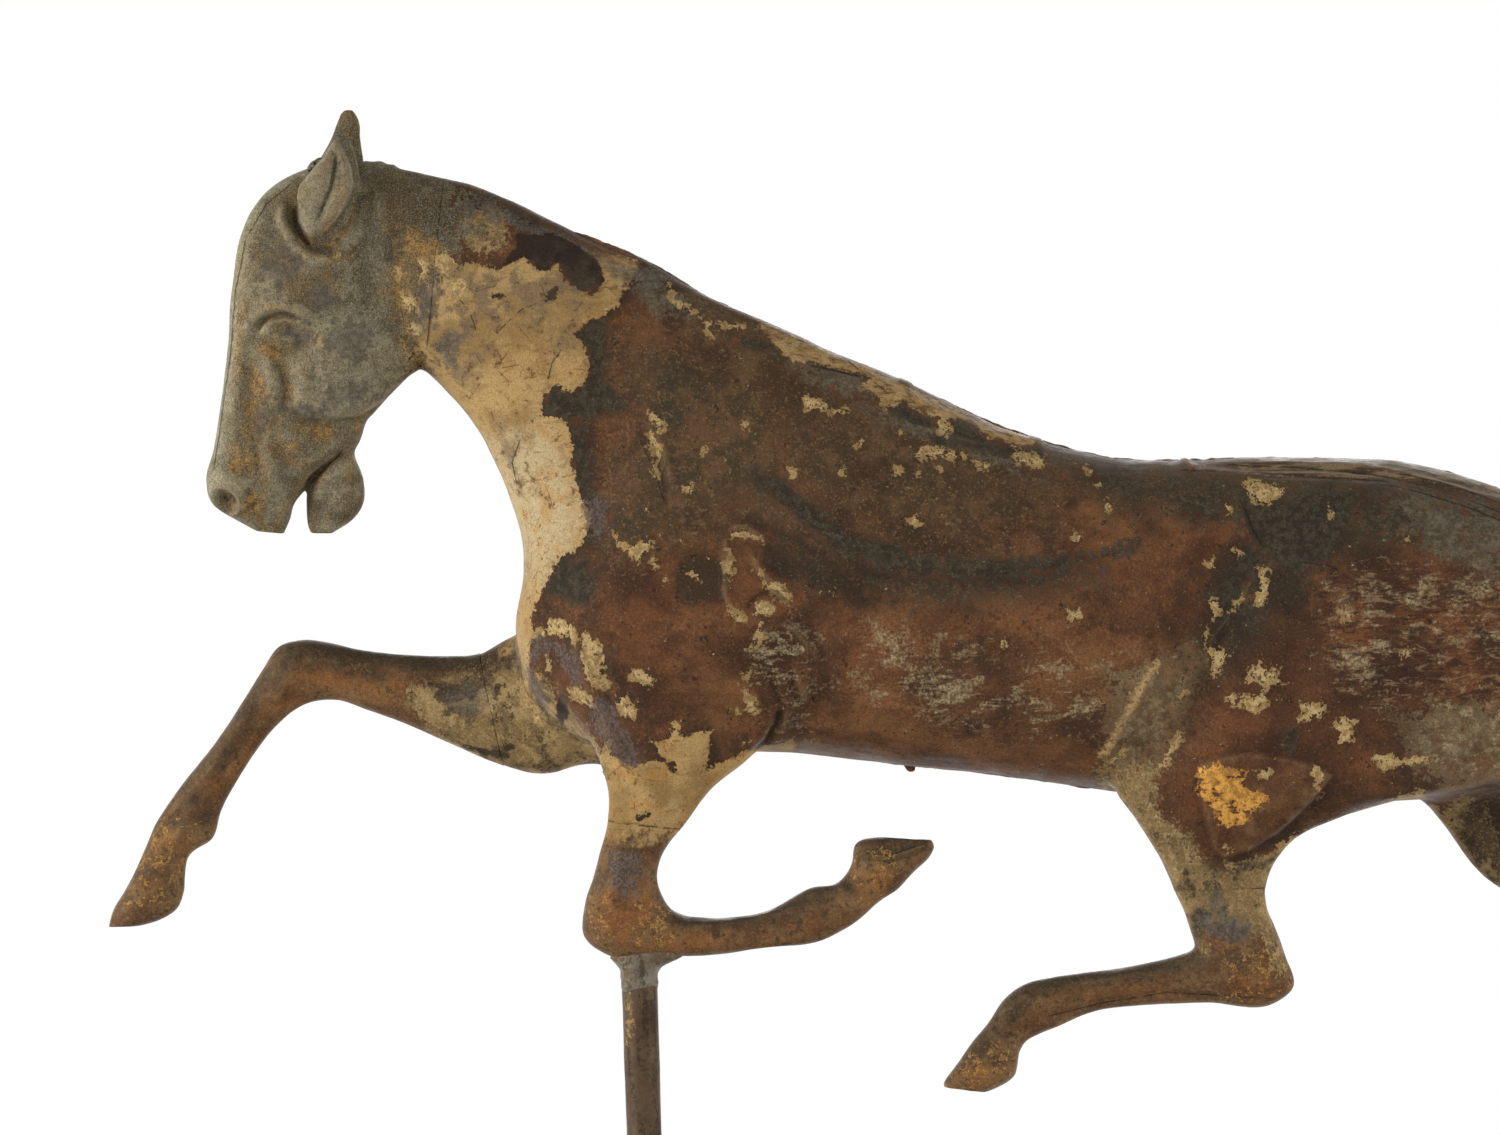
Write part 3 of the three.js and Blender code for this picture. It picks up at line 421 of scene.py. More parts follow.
BODY_STROKES = strokes("""
    11 -2.2 690,502 741,513 790,535 830,560 880,576 960,583 1040,580 1090,566 1140,548;
    16 1.4 700,488 770,508 830,536 900,556 970,562 1060,558;
    20 1.8 800,600 880,612 960,616 1040,612 1120,592; 4 1.4 728,528 746,527 767,540;
    5 1.4 726,532 724,560 726,596 736,616; 4 1.8 750,552 758,568 768,580 782,588 792,600;
    4 -1.4 744,612 753,600 764,593 778,593 792,603; 4 1.0 752,600 770,604 778,616;
    11 -1.8 792,606 808,622 820,650 824,684 814,712 792,732; 4 1.0 775,620 794,630 812,648 820,664;
    4 1.0 786,655 798,676 808,704; 4 -1.0 776,634 790,660 796,690;
    5 -1.2 757,650 770,676 780,700 778,722; 3.5 -2.2 781,704 777,722 766,740 750,754;
    22 -1.4 640,300 612,400 596,490 588,560 598,630; 26 1.8 668,320 650,420 640,500;
    5 -1.0 640,420 654,450 664,480 668,520; 6 0.8 654,424 664,452 672,486;
    9 -1.2 552,600 546,640 552,690 568,730 590,756; 8 1.4 524,640 528,680 548,724 574,752;
    9 2.4 574,610 578,650 592,696 610,738 626,764; 6 -0.8 551,694 560,708 566,726;
    5 -1.0 598,640 604,680 612,712; 4 1.6 1160,660 1135,705 1104,760;
    10 -1.4 1178,676 1160,716 1134,762; 16 -2.0 1290,500 1266,540 1240,590 1212,650 1192,720 1180,770;
    26 2.2 1310,560 1264,640 1226,720 1202,780; 4 1.0 1258,568 1240,600 1212,640 1206,676;
    8 -2.0 1226,862 1252,856 1282,838 1308,812 1336,788;
    7 1.5 1240,872 1280,852 1320,832 1380,812 1430,800; 30 -1.6 1300,600 1360,640 1420,700 1440,760;
    3 -1.0 1243,500 1246,512 1252,528 1264,545; 7 -1.2 590,690 606,740 616,790;
    12 1.2 640,740 648,780 650,822; 9 -1.2 690,690 720,740 700,780 684,820;
    2.6 -1.0 612,821 640,825 668,829 688,830; 12 -1.2 1240,790 1235,850 1232,900;
    14 -1.2 1500,780 1540,840 1590,900; 9 -1.2 640,690 600,700 560,712;
    26 -1.2 900,430 960,480 1000,540; 24 -1.1 1010,470 1060,520 1090,560;
    5 -1.6 812,366 836,371 869,379; 8 -1.2 806,384 840,402 873,396 884,412;
    6 1.0 786,360 830,372 880,392; 5 -1.0 880,402 912,416 950,430 1000,444;
    5 0.9 700,312 740,324 790,344 850,370 900,394 980,430 1040,444; 5 -0.8 560,240 600,262 640,276;
    4 0.6 470,210 520,228 580,250; 16 -0.9 940,640 1010,660 1080,672; 14 0.9 880,700 960,712 1060,716;
    8 -1.0 1340,470 1400,484 1460,506; 8 -1.2 1150,600 1180,640 1186,690;
    6 1.2 1200,880 1214,912 1218,940; 5 -1.2 1176,830 1186,870 1196,910;
    12 -0.9 1120,480 1150,520 1130,560; 7 0.9 1250,880 1258,920 1262,970;
    18 1.2 1330,560 1400,600 1450,660; 10 -0.8 1410,640 1430,700 1420,760
""")
BODY_LUMPS = lumps("""
    640 600 62 90 0.1 4.0; 730 655 56 84 0.1 4.8; 690 400 110 80 0.6 1.4; 960 680 190 62 0.05 3.4;
    1385 640 110 130 0 5.2; 1250 560 60 50 0 -2.2; 1215 690 36 60 0.5 -1.6; 1320 505 90 34 0.1 1.6;
    560 660 26 60 0.1 -1.6; 860 520 90 44 0.2 -1.2; 1140 520 70 34 0 -1.2; 460 320 44 60 0.5 1.0;
    560 690 22 34 0 1.6; 1520 700 60 80 0 -1.6; 960 598 60 16 0 0.8; 1130 610 50 24 -0.3 0.8;
    1290 800 40 26 -0.6 0.9; 1075 640 30 20 0 0.6; 1020 700 50 26 0 -0.7; 620 460 26 34 0 -0.7
""")
# Wrinkles of the lapped seam, also where the surface turns away over the back.
BACK_STROKES = strokes("""
    3.5 -1.1 1190,464 1240,468 1300,470 1370,473 1440,486 1500,508;
    3.5 0.9 1215,461 1290,464 1360,468 1420,478 1500,500; 3 -0.9 1380,470 1440,479 1500,494 1560,524;
    3 -0.7 1250,476 1320,480 1390,484; 4 1.2 1180,458 1188,464 1194,470;
    4 0.9 1000,430 1030,440 1046,446; 5 1.1 896,382 912,388; 4 0.6 720,308 760,325 820,352 880,378;
    3 -0.6 690,300 740,322 790,345; 3 -0.7 560,226 620,252 680,284; 4 0.8 1028,436 1044,440
""")
STIFLE_PLATE = outlines("""
    1198,766 1214,758 1236,754 1262,753 1291,758 1320,767 1333,775 1326,785 1309,804 1295,818 1277,836
    1250,852 1224,860 1213,850 1208,829 1200,792
""")[0]
STIFLE_PLATE_HEIGHT = 0.0010
STIFLE_PLATE_EDGE_PX = (-1.5, 3)
STIFLE_GROOVE_DEPTH = 0.0004
STIFLE_GROOVE_PX = 4  # outside the plate's edge, and half its width
HEAD_STROKES = strokes("""
    7 1.7 248,346 249,328 257,315 270,308 286,306 302,311 314,321;
    3.4 -1.4 256,336 260,325 269,317 282,313 298,316; 3 1.1 264,329 274,322 288,320 302,324 316,334;
    5 -0.9 266,346 282,351 298,347 314,339; 12 1.5 250,304 243,280 243,250 254,220 272,200;
    8 1.2 254,344 264,358 272,374 276,392 270,410; 7 -0.9 272,356 284,370 288,388 284,408;
    9 0.9 299,352 305,372 303,392 293,408; 7 -0.7 313,356 317,380 312,400;
    7 -1.1 258,360 252,390 252,420 258,450 264,480; 8 1.0 240,350 234,400 232,440 236,464;
    9 -0.9 283,412 277,432 281,454 292,472; 8 0.8 268,440 273,468 280,496;
    5 -1.5 286,411 304,420 330,423 356,419 374,409 392,396;
    10 1.4 290,398 312,406 336,407 358,402 378,390; 2.4 -1.7 303,489 314,478 326,466 340,454 351,445;
    6 1.0 290,480 308,462 328,447 346,434; 6 0.9 313,503 323,486 340,470 355,455;
    6 1.7 283,198 283,222 293,244 312,257 334,258; 4.5 -1.9 293,202 295,222 303,238 315,247;
    5 0.7 334,258 348,250 358,236; 5 -0.9 262,514 262,526 272,532; 4 -0.9 247,486 255,500 251,514;
    6 0.8 218,470 230,478 246,488; 9 -1.0 398,206 398,250 402,300 398,350;
    7 -1.2 404,330 420,350 426,372; 5 -0.7 228,470 246,474 262,468; 6 0.6 356,462 361,480 356,500;
    5 -0.6 318,500 322,516 320,528; 10 0.8 372,180 384,220 384,270
""")
EAR_STROKES = strokes("""
    4.2 -2.6 338,144 335,168 331,190 324,208 318,226; 7 0.9 326,160 318,182 311,204 309,222;
    4 1.0 345,158 347,180 341,202 330,222; 6 -1.6 298,236 310,250 330,248 348,226 358,200
""")
EAR_LEAF = outlines("""
    338,132 331,146 324,159 312,175 304,187 298,203 299,221 304,233 311,241 322,237 336,222 348,204
    354,186 352,168 346,151
""")[0]
EAR_LEAF_HEIGHT = 0.0056
EAR_LEAF_EDGE_PX = (-2, 8)
EAR_SIDES = (EAR_SPREAD * 0.2, EAR_SPREAD * 0.8)  # from the horse's middle plane
EAR_TIP_PX = (130, 152)  # over which the leaf rises
EAR_ROOT_PX = (222, 250)  # over which it loses a share of its height
EAR_ROOT_LOSS = 0.6
EAR_BACK_PX = (326, 350)
EAR_BACK_LOSS = 0.35
FACE_DEPTH = 1.35  # of the drawn strokes and lumps, on the zinc
HEAD_LUMPS = lumps("""
    286 337 12 7 0.15 1.4; 286 334 30 18 0.2 -1.6; 270 290 22 26 0 1.2; 344 362 52 48 0 3.6;
    317 431 10 7 0 -1.2; 299 465 8 7 0 -1.0; 264 427 8 13 0 -0.9; 340 494 18 24 0 1.4;
    236 484 24 18 0.6 1.4; 330 300 30 24 0 -1.0; 278 504 14 18 0.2 1.2; 384 300 26 40 0 -0.8;
    312 270 24 12 0 0.8; 252 360 9 22 0.1 -1.0; 360 350 7 6 0.6 -0.9; 372 356 5 4 0 -0.8;
    300 330 10 6 0.3 0.8; 330 190 14 26 -0.3 0.6; 460 320 44 60 0.5 1.0
""")
NOSTRIL = (227.5, 499.5, 15, 11.5, 0.75)
NOSTRIL_RIM = 0.0013
NOSTRIL_RIM_WIDTH = 0.2  # share of its radius, as in the next
NOSTRIL_FLOOR = (0.3, 0.95)
NOSTRIL_DEPTH = -0.0042
POLL_LUMP_REACH = 0.007
POLL_LUMPS = lumps("366 165 7 5 0 1.6; 380 167 9 5 0 2.2; 393 170 5 4 0 1.4")
LEG_STROKES = strokes("""
    6 -1.0 612,850 606,880 598,916; 9 1.0 634,846 640,886 644,925; 5 -0.8 656,850 652,880 656,900;
    9 0.9 590,900 600,925 612,945; 6 -0.9 668,940 720,938 780,928 826,916;
    5 0.9 668,926 720,926 780,914 820,900; 4 -0.9 866,852 874,872 888,892;
    2.2 -1.0 866,860 890,862 908,857 928,847; 4 -0.9 862,850 890,849 924,842;
    5 -0.8 822,896 838,908 848,926; 6 0.9 836,884 850,898 864,912; 5 0.8 700,950 760,946 820,936;
    3 -0.9 1270,998 1220,996 1166,993 1110,1001 1050,1014; 6 -0.9 1180,984 1130,988 1090,994 1052,1004;
    5 0.9 1180,970 1130,976 1090,982 1050,988; 5 1.0 1040,1018 1050,1024 1060,1022;
    8 -1.4 1236,890 1240,930 1236,966; 7 1.4 1256,880 1266,930 1276,972;
    6 0.9 1204,920 1210,944 1216,966; 4 -0.8 1222,990 1250,994 1280,990;
    5 -0.7 972,1046 990,1056 1012,1061; 5 -1.0 1008,1010 1020,1034; 5 0.9 990,1030 1002,1044 1008,1058;
    5 0.9 1030,992 1016,1006 1004,1020; 6 -0.8 984,1040 998,1052; 8 1.1 300,650 290,676 270,706;
    5 -1.0 330,690 300,702 280,724; 5 -0.9 262,716 236,756 214,786; 5 0.9 250,708 226,746 202,782;
    5 -0.7 146,852 166,858 188,860; 6 1.1 196,796 186,822 170,846; 5 -0.9 176,806 164,828 152,850;
    9 0.9 205,812 200,826 190,838; 10 -1.2 420,672 470,690 520,700; 6 1.0 350,664 400,668 460,678;
    7 -0.8 330,676 380,684 440,700; 5 -1.0 1700,930 1760,962 1820,996;
    4 -0.8 1860,1040 1884,1046 1904,1040; 8 1.2 1560,860 1600,890 1650,920;
    5 0.9 1690,950 1740,975 1800,1000; 5 0.8 130,890 150,876 168,884; 4 -0.7 150,912 160,896 178,890
""")
TAIL_SLOPE = 0.42  # down for each pixel to the right
TAIL_START_PX = 1600
TAIL_STRAND_PX = 13  # between two locks of the tail's hair
FINE_STRAND_PX = 5.2
TAIL_STRAND_DEPTH = 0.0008
STRAND_BENDS_PX = ((9, 18, 0), (4, 55, 1))  # size, noise scale and seed
FINE_BEND_PX = (5, 40, 3)
STRAND_DEPTHS = (0.65, 0.35)  # the least share of a lock's depth, and what noise adds
STRAND_DEPTH_NOISE = (28, 2)  # scale and seed
FINE_STRAND_SHARE = 0.45

NOISE_SHIFT = (7.3, 3.1, 5.7)
HASH_FACTORS = (374761393, 668265263, 1274126177)
HASH_MASK = 0xFFFFFFFF
# Unevenness of each kind of surface: pairs of noise scale per metre and height.
DENTS = {
    "sheet": ((24, 0.0010), (64, 0.00045), (180, 0.00012)),
    "sleeve": ((60, 0.0003), (400, 0.0001)),
    "seam": ((90, 0.0005), (240, 0.0004), (520, 0.0002)),
    "knee": ((130, 0.0006), (340, 0.0003), (800, 0.00012)),
    "tube": ((40, 0.00022), (150, 0.00010), (600, 0.00004)),
    "flange": ((60, 0.00035), (260, 0.00018), (900, 0.00008)),
    "flange_screw": ((900, 0.00006),),
    "spindle": ((300, 0.00003),),
    "set_screw": ((900, 0.00005),),
}
HEAD_DENTS = 0.6  # share of the sheet's unevenness
LEG_DENTS = 0.7
SIDE_FACING = (0.12, 0.6)  # how far a surface turns to the side before it carries relief
STROKE_ENDS = (-0.05, 0.22)  # share of a stroke over which its ends fade


def smooth_share(value, low, high):
    share = np.clip((value - low) / (high - low), 0, 1)
    return share * share * (3 - 2 * share)


def stroke_relief(px, path, half_width, height):
    lengths = np.linalg.norm(np.diff(path, axis=0), axis=1)
    starts = np.concatenate([[0], np.cumsum(lengths)])
    nearest = np.full(len(px), FARTHEST_PX)
    along = np.zeros(len(px))
    for i, length in enumerate(lengths):
        distance, share = segment_distance(px, path[i], path[i + 1])
        closer = distance < nearest
        nearest[closer] = distance[closer]
        along[closer] = (starts[i] + share[closer] * length) / starts[-1]
    fade = smooth_share(np.minimum(along, 1 - along), *STROKE_ENDS)
    return height * fade * np.exp(-((nearest / half_width) ** 2))


def ellipse_reach(px, x, y, radius_x, radius_y, turn):
    """How far out of an ellipse's middle each point lies, 1 at its edge."""
    dx, dy = px[:, 0] - x, px[:, 1] - y
    along = (dx * math.cos(turn) + dy * math.sin(turn)) / radius_x
    across = (dy * math.cos(turn) - dx * math.sin(turn)) / radius_y
    return np.hypot(along, across)


def lump_relief(px, x, y, radius_x, radius_y, turn, height):
    return height * np.exp(-ellipse_reach(px, x, y, radius_x, radius_y, turn) ** 2)


def nostril_relief(px):
    reach = ellipse_reach(px, *NOSTRIL)
    rim = NOSTRIL_RIM * np.exp(-(((reach - 1.0) / NOSTRIL_RIM_WIDTH) ** 2))
    return rim + NOSTRIL_DEPTH * (1 - smooth_share(reach, *NOSTRIL_FLOOR))


def wander(co, scale, seed=0):
    """Smooth noise from -1 to 1, between random values at the corners of a lattice."""
    place = co * scale + np.array(NOISE_SHIFT) * seed
    cell = np.floor(place).astype(np.int64)
    share = place - cell
    share = share * share * (3 - 2 * share)
    total = np.zeros(len(co))
    for corner in range(8):
        offset = np.array([corner & 1, corner >> 1 & 1, corner >> 2 & 1])
        mixed = ((cell + offset) @ np.array(HASH_FACTORS)) & HASH_MASK
        mixed = ((mixed ^ (mixed >> 13)) * HASH_FACTORS[2]) & HASH_MASK
        value = (mixed ^ (mixed >> 16)) / 2 ** 31 - 1
        total += value * np.prod(np.where(offset, share, 1 - share), axis=1)
    return total


def all_relief(px, drawn_strokes=(), drawn_lumps=()):
    total = np.zeros(len(px))
    for points, half_width, height in drawn_strokes:
        total += stroke_relief(px, points, half_width, height)
    for lump in drawn_lumps:
        total += lump_relief(px, *lump)
    return total


def with_relief(mesh, sides, everywhere, dents=1.0):
    """Raises the mesh by relief. Returns how deep or high each vertex ended, for the dirt."""
    co, facing = coordinates(mesh), normals(mesh)
    px = pixels_of(co)
    turned_out = smooth_share(np.abs(facing[:, 1]), *SIDE_FACING)
    relief = turned_out * sides(px, co) + everywhere(px, co)
    rough = sum(height * wander(co, scale) for scale, height in DENTS["sheet"]) * dents
    set_coordinates(mesh, co + facing * (relief + rough)[:, None])
    return relief


def body_sides(px, co):
    depth = polygon_distance(px, STIFLE_PLATE)
    plate = STIFLE_PLATE_HEIGHT * smooth_share(depth, *STIFLE_PLATE_EDGE_PX)
    groove = (depth + STIFLE_GROOVE_PX) / STIFLE_GROOVE_PX
    plate -= STIFLE_GROOVE_DEPTH * np.exp(-(groove ** 2))
    near = co[:, 1] < MIDDLE_Y
    return all_relief(px, BODY_STROKES, BODY_LUMPS) + np.where(near, plate, 0)


def body_everywhere(px, co):
    near_top = np.abs(co[:, 1] - MIDDLE_Y) < BODY_HALF_WIDTH
    return np.where(near_top, all_relief(px, BACK_STROKES), 0)


def head_sides(px, co):
    ear = smooth_share(np.abs(co[:, 1] - MIDDLE_Y), *EAR_SIDES)
    leaf = EAR_LEAF_HEIGHT * smooth_share(polygon_distance(px, EAR_LEAF), *EAR_LEAF_EDGE_PX)
    leaf *= smooth_share(px[:, 1], *EAR_TIP_PX)
    leaf *= 1 - EAR_ROOT_LOSS * smooth_share(px[:, 1], *EAR_ROOT_PX)
    leaf *= 1 - EAR_BACK_LOSS * smooth_share(px[:, 0], *EAR_BACK_PX)
    face = FACE_DEPTH * all_relief(px, HEAD_STROKES, HEAD_LUMPS) + nostril_relief(px)
    return face + ear * (leaf + all_relief(px, EAR_STROKES))


def head_everywhere(px, co):
    middle = np.exp(-(((co[:, 1] - MIDDLE_Y) / POLL_LUMP_REACH) ** 2))
    return middle * all_relief(px, (), POLL_LUMPS)


def leg_sides(px, co):
    return all_relief(px, LEG_STROKES + BODY_STROKES, BODY_LUMPS)


def nowhere(px, co):
    return np.zeros(len(px))


def tail_sides(px, co):
    across = px[:, 1] - TAIL_SLOPE * (px[:, 0] - TAIL_START_PX)
    for size, scale, seed in STRAND_BENDS_PX:
        across = across + size * wander(co, scale, seed)
    least, more = STRAND_DEPTHS
    depth = least + more * wander(co, *STRAND_DEPTH_NOISE)
    coarse = np.sin(2 * math.pi * across / TAIL_STRAND_PX) * depth
    size, scale, seed = FINE_BEND_PX
    fine = np.sin(2 * math.pi * (across + size * wander(co, scale, seed)) / FINE_STRAND_PX)
    return TAIL_STRAND_DEPTH * (coarse + FINE_STRAND_SHARE * fine)


# Paint. Each patch is an outline in pixels on the near side. The far side wears the same kinds of
# patch, shifted and bent, because the photograph doesn't show it.

# Soft blots of a tone: x, y, radius along, radius across, turn.
BLOTS = {
    # Dark blots of soot, and of painted shade on the tops of the legs and in the creases under the brow,
    # the elbow and the stifle.
    "soot_and_shade": rows("""
        404 204 40 26 0.15; 288 334 20 6 0.1; 300 226 6 18 0.1; 226 500 9 8 0; 316 246 16 5 0.2;
        380 236 22 26 0; 436 214 26 22 0.3; 480 662 44 12 0.05; 430 662 40 11 0.05; 372 652 40 9 0.08;
        322 652 26 9 0.2; 282 672 20 10 -0.9; 254 706 26 8 -0.95; 224 754 28 7 -0.95;
        194 800 22 8 -0.95; 176 824 12 9 0; 202 815 10 9 0; 622 870 13 24 0.1; 740 921 52 7 -0.1;
        692 924 20 7 0; 800 905 30 8 -0.35; 848 888 13 10 0.5; 888 851 34 7 -0.1; 1130 974 50 7 -0.1;
        1062 985 30 8 -0.15; 1014 1012 20 9 -0.9; 1200 925 12 20 0.1; 985 1048 18 8 -0.7;
        1490 830 30 40 0.8; 1520 860 40 30 0.8; 1000 1062 14 9 0; 470 685 24 8 0.1; 1286 835 34 8 -0.7;
        1240 862 26 6 -0.1; 840 585 50 10 0.4; 1232 560 14 40 0.5; 560 560 16 34 0.5;
        706 750 14 30 -0.3; 775 560 26 10 0.6; 640 770 16 10 0.3; 498 749 12 4 0.2; 1312 530 46 18 0.3;
        1286 592 26 20 0.6; 1222 596 8 30 0.5; 350 668 44 12 0.08; 455 690 28 12 0.1; 332 372 18 14 0;
        386 372 15 22 0.3; 338 498 19 22 0; 268 292 12 12 0; 366 275 12 26 0; 702 580 30 28 0.2
    """),
    "copper": rows("""
        330 676 36 12 0.1; 290 700 20 12 -0.8; 400 690 42 12 0.15; 262 738 20 7 -0.95;
        232 778 20 7 -0.95; 206 806 12 8 0; 168 838 16 8 -0.9; 150 878 15 14 0; 625 908 28 32 0;
        700 942 60 9 -0.06; 800 930 50 11 -0.25; 872 885 20 14 -0.7; 1130 992 60 8 -0.1;
        1252 985 32 14 0; 1050 1010 30 9 -0.5; 975 1072 24 9 -0.1; 1222 936 18 12 0.2;
        1270 950 9 30 -0.1; 1640 930 60 20 0.4; 1800 990 60 16 0.4; 252 728 24 10 -0.9;
        214 790 24 10 -0.95
    """),
    "slate": rows("""
        302 338 12 7 0.2; 262 420 8 20 0.1; 302 412 20 7 0.2; 350 340 26 22 0; 425 302 10 20 0.2;
        450 346 11 20 0.2; 1226 925 26 13 0.2; 1216 902 10 9 0; 280 265 22 20 0; 350 395 30 9 -0.2;
        470 700 22 14 0; 500 214 34 8 0.42; 560 242 36 8 0.44; 625 271 36 8 0.42; 322 296 14 10 0
    """),
    # Pale oxide along the profile of the head, with a painted highlight.
    "oxide_and_highlight": rows("""
        280 186 22 6 -0.5; 252 212 20 6 -1.0; 240 256 6 36 0.1; 234 318 6 44 0.05; 226 384 6 46 0.06;
        218 440 7 30 0.08; 214 478 8 20 0; 304 174 14 6 -0.2; 316 200 6 24 0.35; 262 330 8 5 -0.4;
        236 526 14 5 0.3; 330 528 12 5 0
    """),
    "stain": rows("""
        629 1000 3 26 -0.02; 628 1030 2 12 0; 627 985 3 10 0; 612 958 12 5 0.3; 668 959 14 5 -0.2;
        266 352 12 9 0.3; 257 381 7 10 0.1; 248 412 5 18 0.1; 262 405 4 14 0.2; 294 394 6 15 0.2;
        303 373 4 9 0.1; 318 340 8 9 0; 317 430 15 7 0.1; 295 445 6 6 0; 297 463 6 6 0; 268 426 7 7 0;
        251 460 4 14 -0.1; 266 470 4 20 0.05; 257 500 8 9 0.4; 247 512 5 7 0; 259 520 5 7 0;
        281 515 4 13 0.3; 343 500 4 24 0; 330 522 3 9 0; 310 479 5 6 0; 358 427 5 12 0.4;
        406 352 6 20 0.1; 418 356 5 16 0; 231 501 7 6 0.6; 238 344 4 30 0.05; 240 300 3 40 0.05;
        284 260 10 8 0; 326 256 26 5 0.1; 336 206 4 16 0.35; 390 226 14 9 0; 412 240 12 12 0;
        430 252 10 14 0.2; 396 210 10 7 0; 274 452 5 9 0; 236 470 4 14 0; 350 470 5 12 0.2;
        270 306 12 6 0.3; 346 498 6 26 0; 322 480 6 12 0.2; 300 500 5 16 0.1
    """),
}
